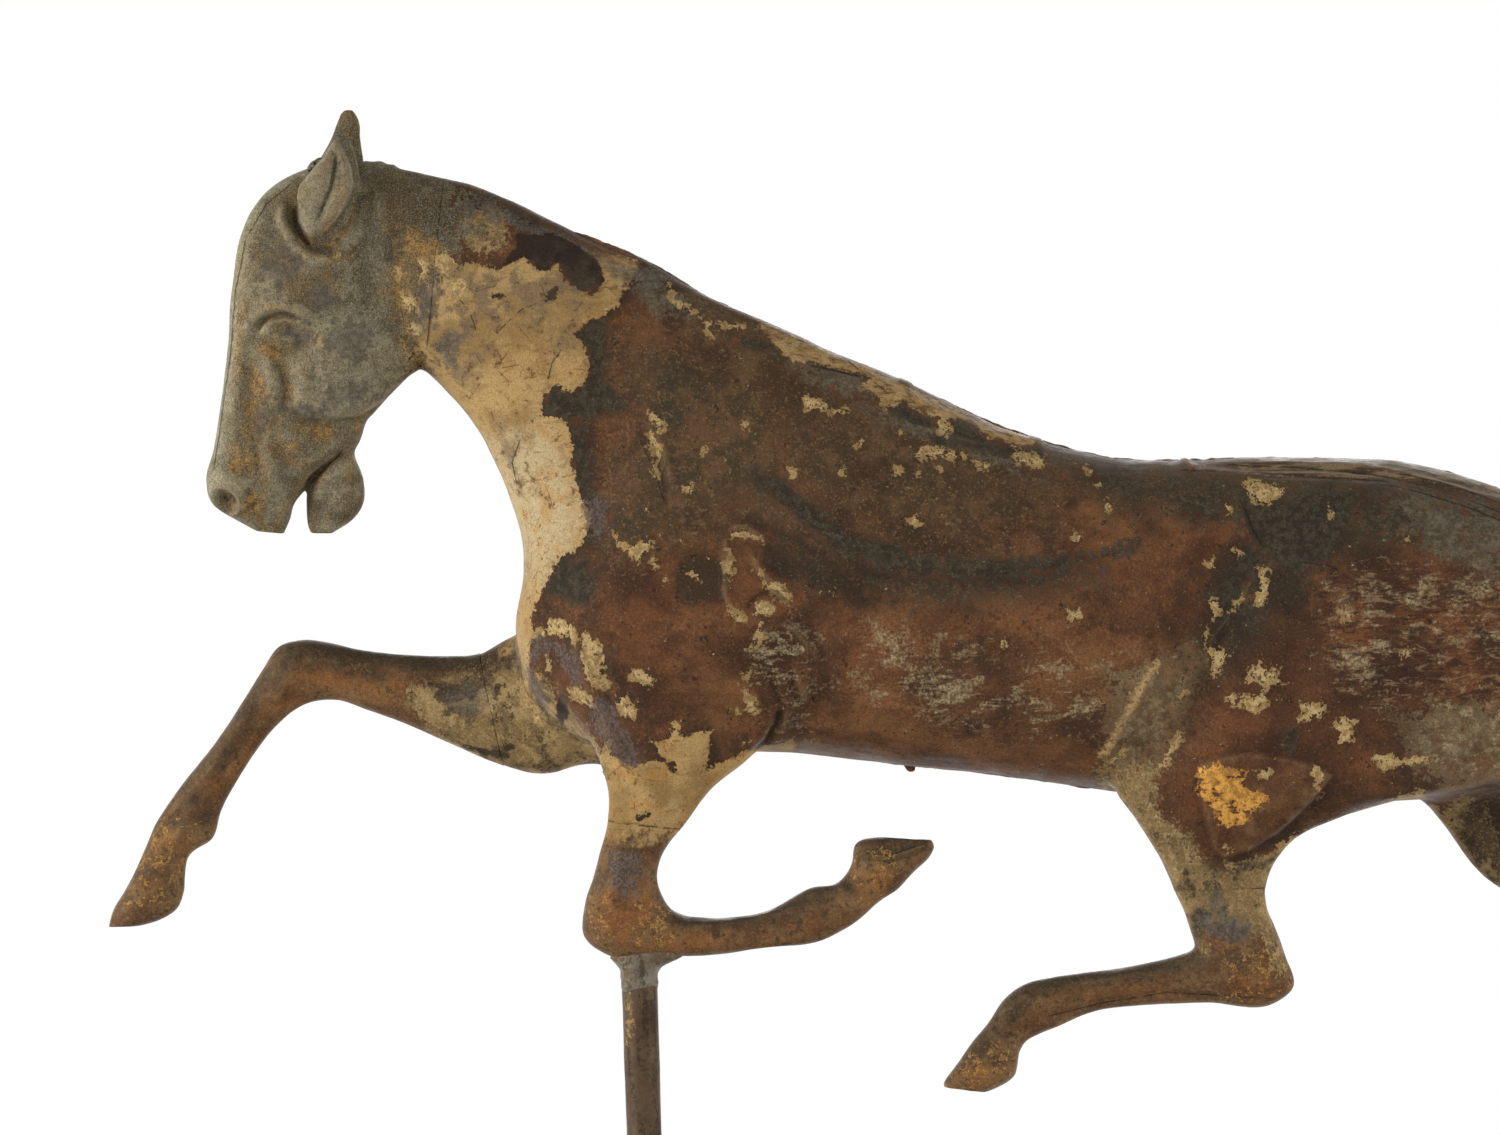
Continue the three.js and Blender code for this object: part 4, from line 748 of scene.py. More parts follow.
LAYERS = {
    "cream": outlines("""
        425,300 448,268 470,262 497,268 509,262 524,256 532,264 545,271 552,269 559,252 563,282 573,283
        583,292 596,291 606,287 620,300 617,308 609,310 606,317 588,318 583,327 573,334 583,343 589,354
        587,369 583,382 573,392 563,391 555,383 549,392 541,410 542,415 560,419 569,427 572,443 573,466
        578,491 586,507 590,521 586,536 575,554 560,557 548,580 536,604 531,640 532,700 540,742 500,742
        490,560 470,420 425,372 405,340; 608,738 611,756 629,766 642,763 644,758 662,762 672,775 679,773
        675,763 662,755 648,740 667,745 670,727 677,722 682,735 693,732 713,731 709,740 708,755 703,773
        723,763 756,748 795,738 795,800 720,838 690,846 640,852 596,846 590,800 596,760
    """),
    "flake": outlines("""
        432,258 446,250 456,262 450,276 438,272; 446,282 462,276 470,290 458,300;
        416,262 426,258 430,276 420,284; 614,532 620,542 629,547 637,545 648,539 657,536 655,541 649,547
        643,554 638,563 634,556 625,550 617,546; 652,560 658,566 660,572 654,570;
        662,574 667,578 664,584; 688,572 698,576 703,580 696,579;
        727,529 741,530 754,532 766,541 762,545 749,539 736,539 730,536;
        727,545 732,547 731,556 727,554; 725,562 731,564 731,582 727,572;
        750,554 758,567 764,574 758,573 751,563; 728,607 736,613 745,618 742,623 735,620; 754,615
        764,611 776,605 777,610 765,618 763,633 754,646 748,649 756,632 758,622;
        633,669 645,670 646,676 638,682 631,676; 621,698 632,700 636,712 634,722 627,712;
        743,668 748,674 746,680; 768,672 777,684 774,688 769,682;
        744,690 752,696 758,712 750,714 745,704; 736,710 744,712 740,716; 745,738 749,742 746,743;
        666,282 672,288 676,300 668,296; 668,298 684,302 696,312 690,314 676,306;
        700,318 712,322 714,340 706,334; 716,326 746,326 742,330;
        802,396 816,398 828,405 824,410 812,408 808,412; 973,459 988,464 989,471 981,467;
        936,467 945,469 940,473; 895,466 904,468 902,476 895,474; 918,474 925,475 922,478;
        1079,466 1092,470 1104,488 1098,486 1086,472; 1105,500 1109,508 1106,510;
        1075,534 1082,533 1080,543 1073,541;
        1242,480 1267,482 1285,488 1282,496 1270,502 1257,502 1249,494; 1225,505 1232,508 1228,514;
        1226,522 1233,524 1229,529; 1203,563 1213,560 1214,566 1208,569; 1234,550 1241,551 1238,557;
        1265,568 1270,584 1262,606 1254,604 1259,590 1260,576; 1226,611 1241,598 1238,606 1230,612;
        1206,630 1211,648 1230,654 1222,670 1214,677 1211,659 1206,643;
        1297,721 1302,710 1311,706 1310,718 1302,724;
        1333,726 1340,715 1364,718 1353,729 1353,742 1337,745 1340,734; 1372,755 1383,753 1401,760
        1428,756 1430,762 1396,766 1383,770 1377,764; 1330,502 1333,512 1329,520;
        1408,538 1412,543 1409,546; 1108,763 1124,748 1128,752 1114,765;
        1158,768 1178,734 1184,736 1164,770; 1278,846 1300,834 1350,813 1400,797 1425,790 1425,800
        1390,806 1350,826 1310,842 1285,856; 548,620 557,618 564,620 575,630 575,647 570,644 567,635
        560,636 552,636 533,639 530,635 536,630 546,629; 582,633 587,633 603,648 605,659 603,665 608,686
        606,693 596,687 585,680 582,671 579,656;
        568,689 579,687 585,692 593,698 597,707 590,710 587,707 573,701;
        523,695 528,696 527,707 523,706; 611,733 616,731 623,744 618,746;
        616,697 626,695 633,702 634,718 630,725 622,716 615,706;
        634,672 646,671 656,678 650,686 640,682; 764,583 776,581 792,592 790,600 778,596 768,594;
        751,603 762,599 776,606 774,613 764,620 756,616; 758,622 764,624 762,640 757,645;
        648,414 654,412 664,422 662,436 655,428; 645,436 652,433 662,450 660,463 652,452;
        649,463 656,464 662,478 655,480; 896,432 909,439 916,445 930,443 938,448 959,452 968,454 966,459
        952,459 945,457 930,457 914,459 916,450;
        1013,452 1024,451 1044,457 1046,463 1042,470 1028,466 1017,463; 975,460 986,464 988,470 980,468;
        718,323 746,325 744,330 720,329; 934,420 944,418 952,430 948,438 938,432;
        824,410 846,409 848,414 830,414; 1300,704 1314,703 1326,708 1322,718 1306,720;
        1209,602 1218,600 1222,612 1214,620; 1258,568 1268,572 1270,590 1264,606 1257,600 1261,584;
        1180,690 1186,692 1184,700 1179,698; 1340,612 1348,610 1350,618 1343,620;
        1402,648 1412,650 1410,658 1401,656; 1068,612 1080,610 1084,618 1072,620;
        836,470 842,468 846,476 838,478; 700,448 706,446 710,454 703,456;
        742,420 748,422 746,430 740,428; 684,486 690,484 694,492 687,494;
        910,520 916,518 920,526 913,528; 1002,640 1010,642 1008,650 1001,648;
        790,470 797,470 798,478 791,478; 858,436 864,438 862,446 856,444;
        728,560 733,560 734,586 729,584; 1228,690 1236,694 1234,704 1227,700;
        424,276 436,282 438,300 428,296; 390,272 398,264 404,274 398,284;
        398,290 412,296 424,302 420,316 410,312 400,304; 412,322 422,326 418,338 408,332;
        524,636 530,640 532,664 528,688 524,684; 534,702 539,712 542,726 537,728 533,716;
        546,655 552,660 550,676 545,672; 1308,764 1318,766 1326,776 1320,782 1313,774;
        1316,786 1324,790 1318,796; 1258,772 1270,770 1276,776 1264,779; 1222,846 1232,850 1228,855;
        1250,668 1260,662 1266,670 1280,666 1276,677 1286,684 1272,684 1264,696 1258,683 1248,682;
        1236,706 1244,693 1254,699 1268,689 1267,703 1256,715 1246,709; 1212,668 1220,664 1216,676
    """),
    "gold": outlines("""
        1196,766 1205,763 1223,763 1244,775 1243,784 1252,791 1270,793 1270,804 1252,811 1248,822
        1226,829 1216,818 1208,804 1199,786
    """),
    "rust": outlines("""
        607,312 640,298 690,312 705,330 690,352 650,352 612,345;
        606,420 640,402 662,430 668,480 650,500 610,490; 820,600 980,614 1100,600 1200,560 1250,540
        1250,600 1180,660 1090,690 1000,640 900,660 880,760 820,740;
        1040,540 1110,480 1240,500 1260,560 1180,600 1060,610; 1200,770 1160,800 1190,840 1215,868
        1250,858 1300,820 1340,790 1400,760 1360,700 1290,640 1230,690;
        950,480 1010,470 1060,500 1030,560 960,560;
        1340,560 1420,540 1500,560 1500,720 1440,740 1380,700;
        620,560 700,520 800,600 800,700 740,740 640,720 600,640;
        605,439 665,439 672,470 662,496 606,496; 605,307 660,300 701,312 701,344 650,349 606,340;
        1330,600 1400,590 1440,640 1420,700 1360,690 1320,650; 1500,720 1560,720 1560,800 1500,790
    """),
    "pale": outlines("""
        490,440 545,424 575,470 586,520 570,552 545,590 520,560 500,500
    """),
    "greyed": outlines("""
        405,300 440,290 478,300 486,340 470,380 430,376 400,350;
        502,428 512,434 521,460 523,488 512,482 504,456; 560,330 580,336 584,352 566,350;
        432,262 500,262 570,260 592,288 562,318 500,318 462,332 438,320
    """),
    "gilt": outlines("""
        583,896 606,894 606,936 586,940; 636,908 670,906 672,950 638,952;
        118,904 136,862 168,818 212,830 190,880 176,908; 1226,952 1294,952 1294,1004 1226,1004;
        948,1086 966,1050 1012,1050 1012,1084; 850,862 872,844 900,856 884,900 860,900;
        640,920 668,920 668,944 640,944; 968,1060 983,1060 983,1071 968,1071
    """),
    "speckle": outlines("""
        612,350 660,300 740,330 860,380 960,430 1060,470 1060,560 960,570 860,566 780,520 700,540
        620,560 600,480
    """),
    "green": outlines("""
        885,400 905,398 911,413 937,418 967,418 982,428 990,439 1013,444 1045,447 1100,458 1180,462
        1180,500 1110,520 1080,470 1010,455 985,452 930,440 900,430; 1120,500 1150,470 1240,470 1320,478
        1400,482 1500,505 1500,560 1400,548 1320,560 1280,620 1220,680 1190,640 1230,590 1260,540
        1180,520; 740,470 800,540 960,575 1110,560 1110,585 960,605 860,600 790,580;
        650,350 740,380 760,460 700,520 660,480 640,400;
        640,262 700,300 780,340 860,370 880,400 800,376 720,340 640,300;
        448,190 500,200 556,222 560,234 520,230 480,216 450,204;
        605,496 665,498 668,532 640,546 604,536
    """),
    "rub": outlines("""
        924,655 950,642 985,648 999,668 996,700 985,728 950,730 926,716 920,690; 1016,664 1050,656
        1084,672 1098,704 1086,728 1040,730 1020,716 1012,690; 1090,663 1153,656 1150,672 1100,680;
        1435,700 1500,690 1540,700 1540,774 1500,774 1436,769 1426,748; 748,648 770,622 800,630 816,650
        818,700 806,740 788,745 784,700 762,680; 860,640 900,630 925,650 900,690 868,700; 1335,592
        1402,581 1500,587 1540,600 1540,650 1430,650 1361,690 1329,660
    """),
    "ochre": outlines("""
        1095,765 1160,765 1160,795 1158,809 1174,822 1190,836 1200,855 1211,869 1230,873 1251,860
        1280,851 1310,850 1300,900 1280,935 1180,935 1150,880 1110,820;
        400,690 470,668 520,650 560,700 604,752 606,790 540,790 440,750;
        1480,800 1500,830 1520,880 1490,880 1440,815 1460,795;
        498,728 540,722 560,736 590,740 606,756 560,764 500,762;
        1250,850 1275,862 1280,930 1291,968 1276,978 1262,930 1250,880;
        1196,930 1212,944 1204,956 1194,950; 462,212 498,205 512,222 504,244 480,256 462,240
    """),
    "dark": outlines("""
        499,269 506,258 517,248 514,236 520,233 530,236 544,234 560,238 576,246 594,258 602,268 604,280
        596,291 584,291 574,284 566,276 561,264 553,263 548,270 540,270 532,262 524,256 516,260 508,266;
        549,290 558,287 556,298 546,302; 488,292 506,295 504,300 490,298;
        636,818 647,812 650,815 644,820 637,821; 452,742 470,744 500,752 510,758 490,756 470,750;
        556,697 562,695 567,702 567,714 562,723 557,716; 505,744 513,743 516,750 508,751
    """),
    "tan": outlines("""
        593,253 619,253 640,262 634,269 629,280 624,287 620,302 600,312 570,306 560,290 584,294 606,288
        602,272; 761,322 808,340 844,358 902,384 952,409 1006,430 1035,438 1031,445 1010,445 988,438
        977,425 963,418 934,416 916,412 907,403 902,400 894,407 884,412 873,394 858,389 869,378 844,371
        815,364 786,358 781,348 761,330; 1226,863 1250,860 1280,848 1320,826 1376,810 1425,796 1425,802
        1376,816 1322,834 1282,856 1250,868 1228,870; 1152,661 1161,661 1141,694 1123,727 1105,760
        1097,758 1118,722 1135,689; 604,256 640,264 632,282 618,300 596,300 600,276; 1428,806 1437,806
        1470,842 1500,874 1520,896 1511,899 1488,879 1456,843
    """),
    "mottle": outlines("""
        1101,672 1150,655 1189,645 1202,661 1199,686 1189,709 1176,740 1161,778 1105,776 1098,740
        1108,700; 1400,716 1440,700 1500,700 1540,720 1540,786 1480,790 1430,788 1404,760
    """),
    "night": outlines("""
        592,314 607,316 608,324 604,340 604,370 610,391 628,406 622,411 600,416 580,420 560,419 542,415
        541,409 553,381 563,391 571,391 583,385 588,370 588,352 574,340 573,334 586,325; 1243,488
        1262,504 1290,502 1330,486 1352,494 1346,522 1330,552 1300,572 1276,560 1262,548 1250,530
        1243,510; 566,424 590,424 594,470 592,500 606,505 606,533 590,544 578,540 586,520 578,491
        573,466 572,443; 551,560 590,558 594,590 588,606 564,598 550,590;
        729,330 772,345 768,352 740,346 727,338; 887,398 930,420 926,427 900,416 884,404;
        938,416 988,440 984,446 950,436 938,426; 930,434 1045,450 1045,459 980,453 930,444;
        1210,600 1236,560 1246,540 1262,556 1240,596 1216,640; 1286,728 1298,730 1296,754 1287,752;
        448,186 500,202 540,216 540,230 500,226 452,210; 744,470 780,478 850,532 930,554 1010,560
        1090,552 1140,540 1140,552 1080,568 1010,578 940,578 880,568 836,552 790,510 756,486
    """),
    # Grey patches along the top of the back and the neck: dust, and a painted sheen.
    "dust_and_sheen": outlines("""
        808,367 846,374 873,394 862,400 830,392 808,380;
        628,266 660,278 697,304 695,316 660,312 628,290;
        880,402 1000,444 1060,460 1060,470 960,456 880,424;
        1400,500 1440,496 1500,514 1560,540 1560,600 1480,572 1420,546
    """),
    "umber": outlines("""
        860,594 960,608 1060,608 1140,592 1150,640 1060,650 960,640 880,640 850,620; 800,680 880,690
        960,728 1100,732 1100,790 1000,776 900,766 800,748;
        700,600 770,630 760,690 740,740 700,740 660,700 670,640; 1230,560 1250,548 1260,580 1236,620;
        1040,490 1120,486 1180,520 1160,560 1080,560 1040,530; 534,604 560,596 588,610 604,646 612,700
        604,740 560,740 530,722 530,660; 440,208 500,205 512,235 500,262 450,266 430,250;
        1440,790 1560,800 1600,900 1520,890; 940,430 1000,440 1110,470 1180,500 1180,540 1100,520
        1000,480 930,460; 930,594 1020,594 1020,616 930,616;
        1080,640 1200,600 1230,640 1150,690 1080,720 1040,700;
        536,652 552,650 566,664 574,684 560,686 546,668
    """),
    "purple": outlines("""
        591,704 602,695 618,707 620,722 633,737 642,764 632,764 620,758 609,746 599,731 590,716;
        1204,924 1244,923 1245,942 1208,941; 608,852 640,854 638,896 610,890;
        584,502 606,504 608,534 590,536; 532,640 548,638 566,642 580,658 584,682 572,684 566,668 552,652
        540,652 534,668 540,690 552,704 548,712 534,694 526,668
    """),
    "strip": outlines("""
        1236,460 1300,457 1380,459 1440,469 1500,487 1560,517 1562,528 1500,497 1440,481 1380,479
        1300,477 1240,472
    """),
    "scratch": outlines("""
        1320,574 1400,560 1500,575 1560,600 1560,720 1500,715 1430,704 1370,708 1320,672
    """),
    "plate": [STIFLE_PLATE],
}
# Thin dark lines: seams, cracks and scratches, and painted shade along creases.
DARK_LINES = outlines("""
    300,177 266,205 246,240 236,290 231,350 224,400 218,444 214,470;
    606,821 622,824 640,826 662,828 690,830; 1240,500 1246,512 1252,528 1262,545;
    306,492 314,479 326,467 348,448; 500,330 512,318 524,308; 560,352 552,362 548,380;
    1180,470 1260,473 1340,480 1400,487 1460,505 1500,520; 1230,465 1300,468 1380,476 1440,490 1500,512;
    800,340 836,352 862,372 886,392; 1044,1018 1100,1004 1166,993 1220,996 1272,999;
    868,854 890,856 926,843; 460,300 470,312 476,330; 520,440 512,462 516,480; 640,440 654,470 664,500;
    1300,562 1330,566 1352,580; 1380,470 1440,482 1500,503 1560,532; 1250,472 1320,476 1390,482;
    812,366 840,372 869,378
""")
LINE_REACH_PX = 3
LINE_SEARCH_PX = 30  # round a line, beyond which its distance isn't worked out
PATCH_SEARCH_PX = 60.0
HOLLOW_ROUNDS = 10
FAR_SHIFT_PX = (34, -16)
FAR_BEND_PX = 26
FAR_BEND_SCALE = 11
HEAD_BOTTOM_PX = 580
ZINC_EDGE_PX = ((474, 170), (464, 230), (446, 280), (428, 330), (420, 400))  # of the grey on the neck
# Where the copper brown of the legs begins: in x of the far foreleg, and else in y.
LEG_TOP_PX = 600
FAR_FORELEG_END_PX = 520
NEAR_FORELEG_END_PX = 960
LEG_COPPER_FROM_PX = {"far_fore": 505, "fore": 838, "hind": 925}


def hollows(mesh, rounds):
    """How far each vertex lies below its surroundings, in millimetres."""
    relaxer, co = Relaxer(mesh), coordinates(mesh)
    evened = co
    for _ in range(rounds):
        evened = relaxer.step(evened, relaxer.HALFWAY)
    return ((evened - co) * normals(mesh)).sum(axis=1) * METRE_MM


def line_distance(px, lines):
    """Distance to the nearest line, signed by its side, and how far within the lines' reach it is."""
    nearest = np.full(len(px), PATCH_SEARCH_PX)
    side = nearest.copy()
    inside = -nearest
    for path in lines:
        low, high = path.min(0) - LINE_SEARCH_PX, path.max(0) + LINE_SEARCH_PX
        close = np.all((px > low) & (px < high), axis=1)
        if not close.any():
            continue
        place = px[close]
        for a, b in zip(path[:-1], path[1:]):
            distance, share = segment_distance(place, a, b)
            along = b - a
            cross = ((place - a) @ np.array([-along[1], along[0]])) / np.linalg.norm(along)
            better = distance < nearest[close]
            chosen = np.flatnonzero(close)[better]
            nearest[chosen] = distance[better]
            side[chosen] = cross[better]
            inside[chosen] = LINE_REACH_PX - distance[better]
    return side, inside


def write(mesh, name, values):
    attribute = mesh.attributes.new(name, "FLOAT", "POINT")
    attribute.data.foreach_set("value", np.full(len(mesh.vertices), values, np.float32))


def paint(mesh, relief=0.0):
    """Writes the distance to each kind of patch, and the depth of the relief, on the vertices."""
    co, facing = coordinates(mesh), normals(mesh)
    px = pixels_of(co)
    far = (co[:, 1] > MIDDLE_Y) & (facing[:, 1] > 0)
    bend = np.stack([wander(co, FAR_BEND_SCALE, seed) for seed in (1, 2)], axis=1) * FAR_BEND_PX
    px = np.where(far[:, None], px + np.array(FAR_SHIFT_PX) + bend, px)
    x, y = px.T
    for layer, patches in LAYERS.items():
        best = np.full(len(px), -PATCH_SEARCH_PX)
        for corners in patches:
            low, high = corners.min(0) - PATCH_SEARCH_PX, corners.max(0) + PATCH_SEARCH_PX
            close = np.all((px > low) & (px < high), axis=1)
            best[close] = np.maximum(best[close], polygon_distance(px[close], corners))
        write(mesh, "of_" + layer, best * PX)
    for layer, blots in BLOTS.items():
        best = np.full(len(px), -PATCH_SEARCH_PX)
        for blot in blots:
            best = np.maximum(best, (1 - ellipse_reach(px, *blot)) * min(blot[2:4]))
        write(mesh, "of_" + layer, best * PX)
    edge = np.array(ZINC_EDGE_PX, float)
    grey = np.interp(y, edge[:, 1], edge[:, 0]) - x
    write(mesh, "of_zinc", np.where(y < HEAD_BOTTOM_PX, grey, -PATCH_SEARCH_PX) * PX)
    side, inside = line_distance(px, DARK_LINES)
    write(mesh, "of_line_side", side * PX)
    write(mesh, "of_line", inside * PX)
    write(mesh, "of_hollow", hollows(mesh, HOLLOW_ROUNDS))
    write(mesh, "of_relief", relief * METRE_MM)
    write(mesh, "of_up", facing[:, 2])
    start = LEG_COPPER_FROM_PX
    below = y - np.where(x < NEAR_FORELEG_END_PX, start["fore"], start["hind"])
    copper = np.where(x < FAR_FORELEG_END_PX, start["far_fore"] - x, below)
    write(mesh, "of_leg", np.where(y > LEG_TOP_PX, copper, -PATCH_SEARCH_PX) * PX)


# Tones. A tone is three numbers of 0 to 255 for red, green and blue, or a field with the two values
# that it steps between and the tones there, or a list of a tone and the coats over it. A coat is a
# tone and the shares whose product is its strength. A share is a number, a field, a step of a field
# (two values, and the shares there if they aren't 0 and 1) or the patch of a layer (how soft and how
# ragged its edge is, in metres).

# Soot, and painted shade on the tops of the legs and in creases.
SOOT_AND_SHADE = ("soot_and_shade", 0.003, 0.02)
# Streaks along the top of the croup, and brushed tan where the back and the thigh are worn.
STRIP = [
    ("streaks", 0.44, 0.56, (116, 98, 74), (84, 70, 54)),
    ((54, 45, 36), ("streaks", 0.58, 0.64, 0, 0.7)),
]
TAN = [
    ("brushed", 0.44, 0.56, (150, 122, 82), (122, 96, 62)),
    ((158, 134, 92), ("small", 0.48, 0.56, 0, 0.7)),
    ((84, 64, 44), ("bristles", 0.84, 0.88, 0, 0.8)),
]
# Old brown-black paint, worn red-brown in places and green-black in others, grey on top with dust and a
# painted sheen, and with painted shade in its sunk relief.
DARK_PAINT = [
    ("smear", 0.36, 0.6, (88, 60, 42), (63, 46, 35)),
    (("fine", 0.44, 0.56, (100, 68, 44), (80, 55, 38)), ("mid", 0.47, 0.6, 0, 0.7)),
    (("smear", 0.38, 0.62, (102, 66, 43), (74, 49, 34)), ("rust", 0.008, 0.09),
     ("small", 0.42, 0.54, 0.6, 0.95)),
    (("smear", 0.38, 0.62, (110, 76, 49), (84, 57, 38)), ("umber", 0.008, 0.08),
     ("mid", 0.42, 0.52, 0.6, 0.95)),
    (("fine", 0.45, 0.55, (46, 45, 37), (66, 61, 48)), ("green", 0.005, 0.05),
     ("small", 0.46, 0.56, 0.9, 0.45)),
    (("small", 0.45, 0.55, (68, 56, 41), (92, 70, 49)), ("speckle", 0.014, 0.08),
     ("mid", 0.4, 0.54, 0.4, 0.9)),
    # Soot, and painted shade in creases.
    ((52, 43, 34), SOOT_AND_SHADE, 0.85),
    ((48, 36, 29), ("veil", 0.5, 0.66, 0, 0.6)),
    ((38, 28, 23), ("pitted", 0.86, 0.92, 0, 0.75)),
    ((120, 96, 64), "specks", ("fine", 0.46, 0.54)),
    ((162, 138, 94), ("chips", 0.93, 0.96), ("mid", 0.48, 0.54), 0.9),
    # Painted shade in the sunk relief.
    ((46, 35, 29), ("relief", -2.8, -0.8, 0.4, 0)),
    # Greyer on upward faces: dust, and a painted sheen.
    ((76, 69, 55), ("up", 0.4, 0.95, 0, 0.4), ("small", 0.42, 0.54, 0.4, 1)),
    # The patches along the top: dust, and a painted sheen.
    (("fine", 0.44, 0.56, (102, 94, 77), (78, 71, 58)), ("dust_and_sheen", 0.004, 0.05),
     ("brushed", 0.4, 0.56, 0.35, 0.85)),
    (("fine", 0.44, 0.56, (154, 138, 104), (120, 106, 80)), ("rub", 0.006, 0.06), ("worn", 0.78, 0.9),
     ("grain", 0.4, 0.56, 0.35, 1), 0.8),
    (("fine", 0.44, 0.56, (128, 112, 84), (100, 88, 64)), ("mottle", 0.003, 0.05),
     ("crumbs", 0.66, 0.8, 0.9, 0.25)),
    ((50, 37, 31), ("scratch", 0.006, 0.06), ("hatching", 0.52, 0.58, 0, 0.75)),
    ((130, 108, 82), ("scratch", 0.006, 0.06), ("hatching", 0.38, 0.44, 0.6, 0)),
    (("fine", 0.44, 0.56, (47, 43, 35), (63, 57, 46)), ("night", 0.0008, 0.018),
     ("grain", 0.56, 0.64, 0.92, 0.5)),
    (("small", 0.44, 0.56, (106, 78, 52), (80, 56, 40)), ("plate", 0.0006, 0.004),
     ("mid", 0.42, 0.54, 0.8, 0.2)),
    (STRIP, ("strip", 0.0008, 0.006), 0.95),
    (TAN, ("tan", 0.0005, 0.008), 0.95),
]
# The gesso under the paint, stained ochre and brown, with cracks and pits.
CREAM_GROUND = [
    ("mid", 0.44, 0.56, (163, 135, 89), (135, 108, 68)),
    ((177, 159, 122), ("pale", 0.008, 0.04), 0.85),
    ((164, 118, 62), ("small", 0.48, 0.6), ("wide", 0.45, 0.55, 0.35, 1), 0.55),
    ((116, 88, 52), ("brushed", 0.54, 0.62, 0, 0.45)),
    ((100, 88, 72), ("greyed", 0.008, 0.05), ("small", 0.46, 0.52, 0.1, 0.7)),
    ((96, 70, 44), ("pitted", 0.86, 0.91, 0, 0.8)),
    ((74, 52, 34), ("crackle", 0.0, 0.02, 1, 0), ("small", 0.52, 0.56), 0.7),
    ((110, 86, 54), ("grain", 0.52, 0.6, 0, 0.22)),
    (("fine", 0.45, 0.58, (178, 154, 108), (140, 114, 74)), "flakes", 0.85),
]
# Ground that is rubbed to a mottled olive and ochre, on the upper legs.
OCHRE_DIRT = [
    ("mid", 0.45, 0.55, (146, 122, 84), (118, 96, 64)),
    ((104, 86, 58), ("small", 0.48, 0.54, 0, 0.85)),
    ((150, 128, 88), ("fine", 0.52, 0.56, 0, 0.6)),
    # Soot, and painted shade on the tops of the legs.
    ((60, 50, 40), SOOT_AND_SHADE, 0.85),
    ((58, 45, 35), ("grime", 0.92, 0.96, 0, 0.8)),
    ((156, 134, 96), ("grain", 0.54, 0.62, 0, 0.3)),
]
# Copper-brown lower legs, orange in places, and darker and greyer on top with soot, dust and painted
# shade.
LEG_COPPER = [
    ("smear", 0.42, 0.58, (112, 82, 54), (86, 63, 44)),
    ((118, 96, 66), ("small", 0.49, 0.58, 0, 0.7)),
    (("smear", 0.38, 0.6, (130, 86, 50), (98, 66, 41)), ("copper", 0.003, 0.02),
     ("small", 0.44, 0.56, 0.9, 0.5)),
    # Greyer on upward faces: dust, and painted shade.
    ((76, 68, 54), ("rough_up", 0.1, 0.7, 0, 0.7)),
    # Soot, and painted shade on the tops of the legs.
    ((56, 47, 38), SOOT_AND_SHADE, ("fine", 0.44, 0.56, 0.9, 0.5)),
    ((58, 46, 36), ("spots", 0.87, 0.93, 0, 0.6)),
    ((136, 112, 78), ("grain", 0.54, 0.62, 0, 0.18)),
]
# The grey of the cast head, stippled, and browned in its hollows, with painted shade in its deepest
# hollows and a painted highlight on its raised relief.
ZINC_GREY = [
    ("mid", 0.42, 0.58, (83, 77, 62), (106, 98, 78)),
    ((78, 70, 54), ("small", 0.47, 0.56, 0, 0.7)),
    ((112, 90, 56), ("clouded", 0.68, 0.78, 1, 0), 0.6),
    (("fine", 0.44, 0.56, (146, 110, 56), (112, 84, 46)), "browned", ("fine", 0.42, 0.56, 0.9, 0.5)),
    # Soot, and painted shade under the brow, by the ear and in the nostril.
    ((62, 54, 42), SOOT_AND_SHADE, 0.65),
    # Painted shade in the deep hollows of the relief.
    ((46, 38, 32), ("relief", -3.6, -1.6, 0.5, 0)),
    # Darker on upward faces: dust, and painted shade.
    ((68, 60, 49), ("up", 0.35, 0.95, 0, 0.4)),
    # Pale oxide along the profile, with a painted highlight.
    ((154, 147, 122), ("oxide_and_highlight", 0.002, 0.012), ("fine", 0.42, 0.56, 0.75, 0.4)),
    # Paler on raised relief: a painted highlight.
    ((144, 134, 108), ("relief", 0.4, 1.8, 0, 0.6), ("fine", 0.42, 0.56, 1, 0.5)),
    ((138, 130, 108), ("pores", 0.52, 0.64, 0, 0.45)),
    ((50, 45, 37), ("pores", 0.36, 0.48, 0.55, 0)),
]
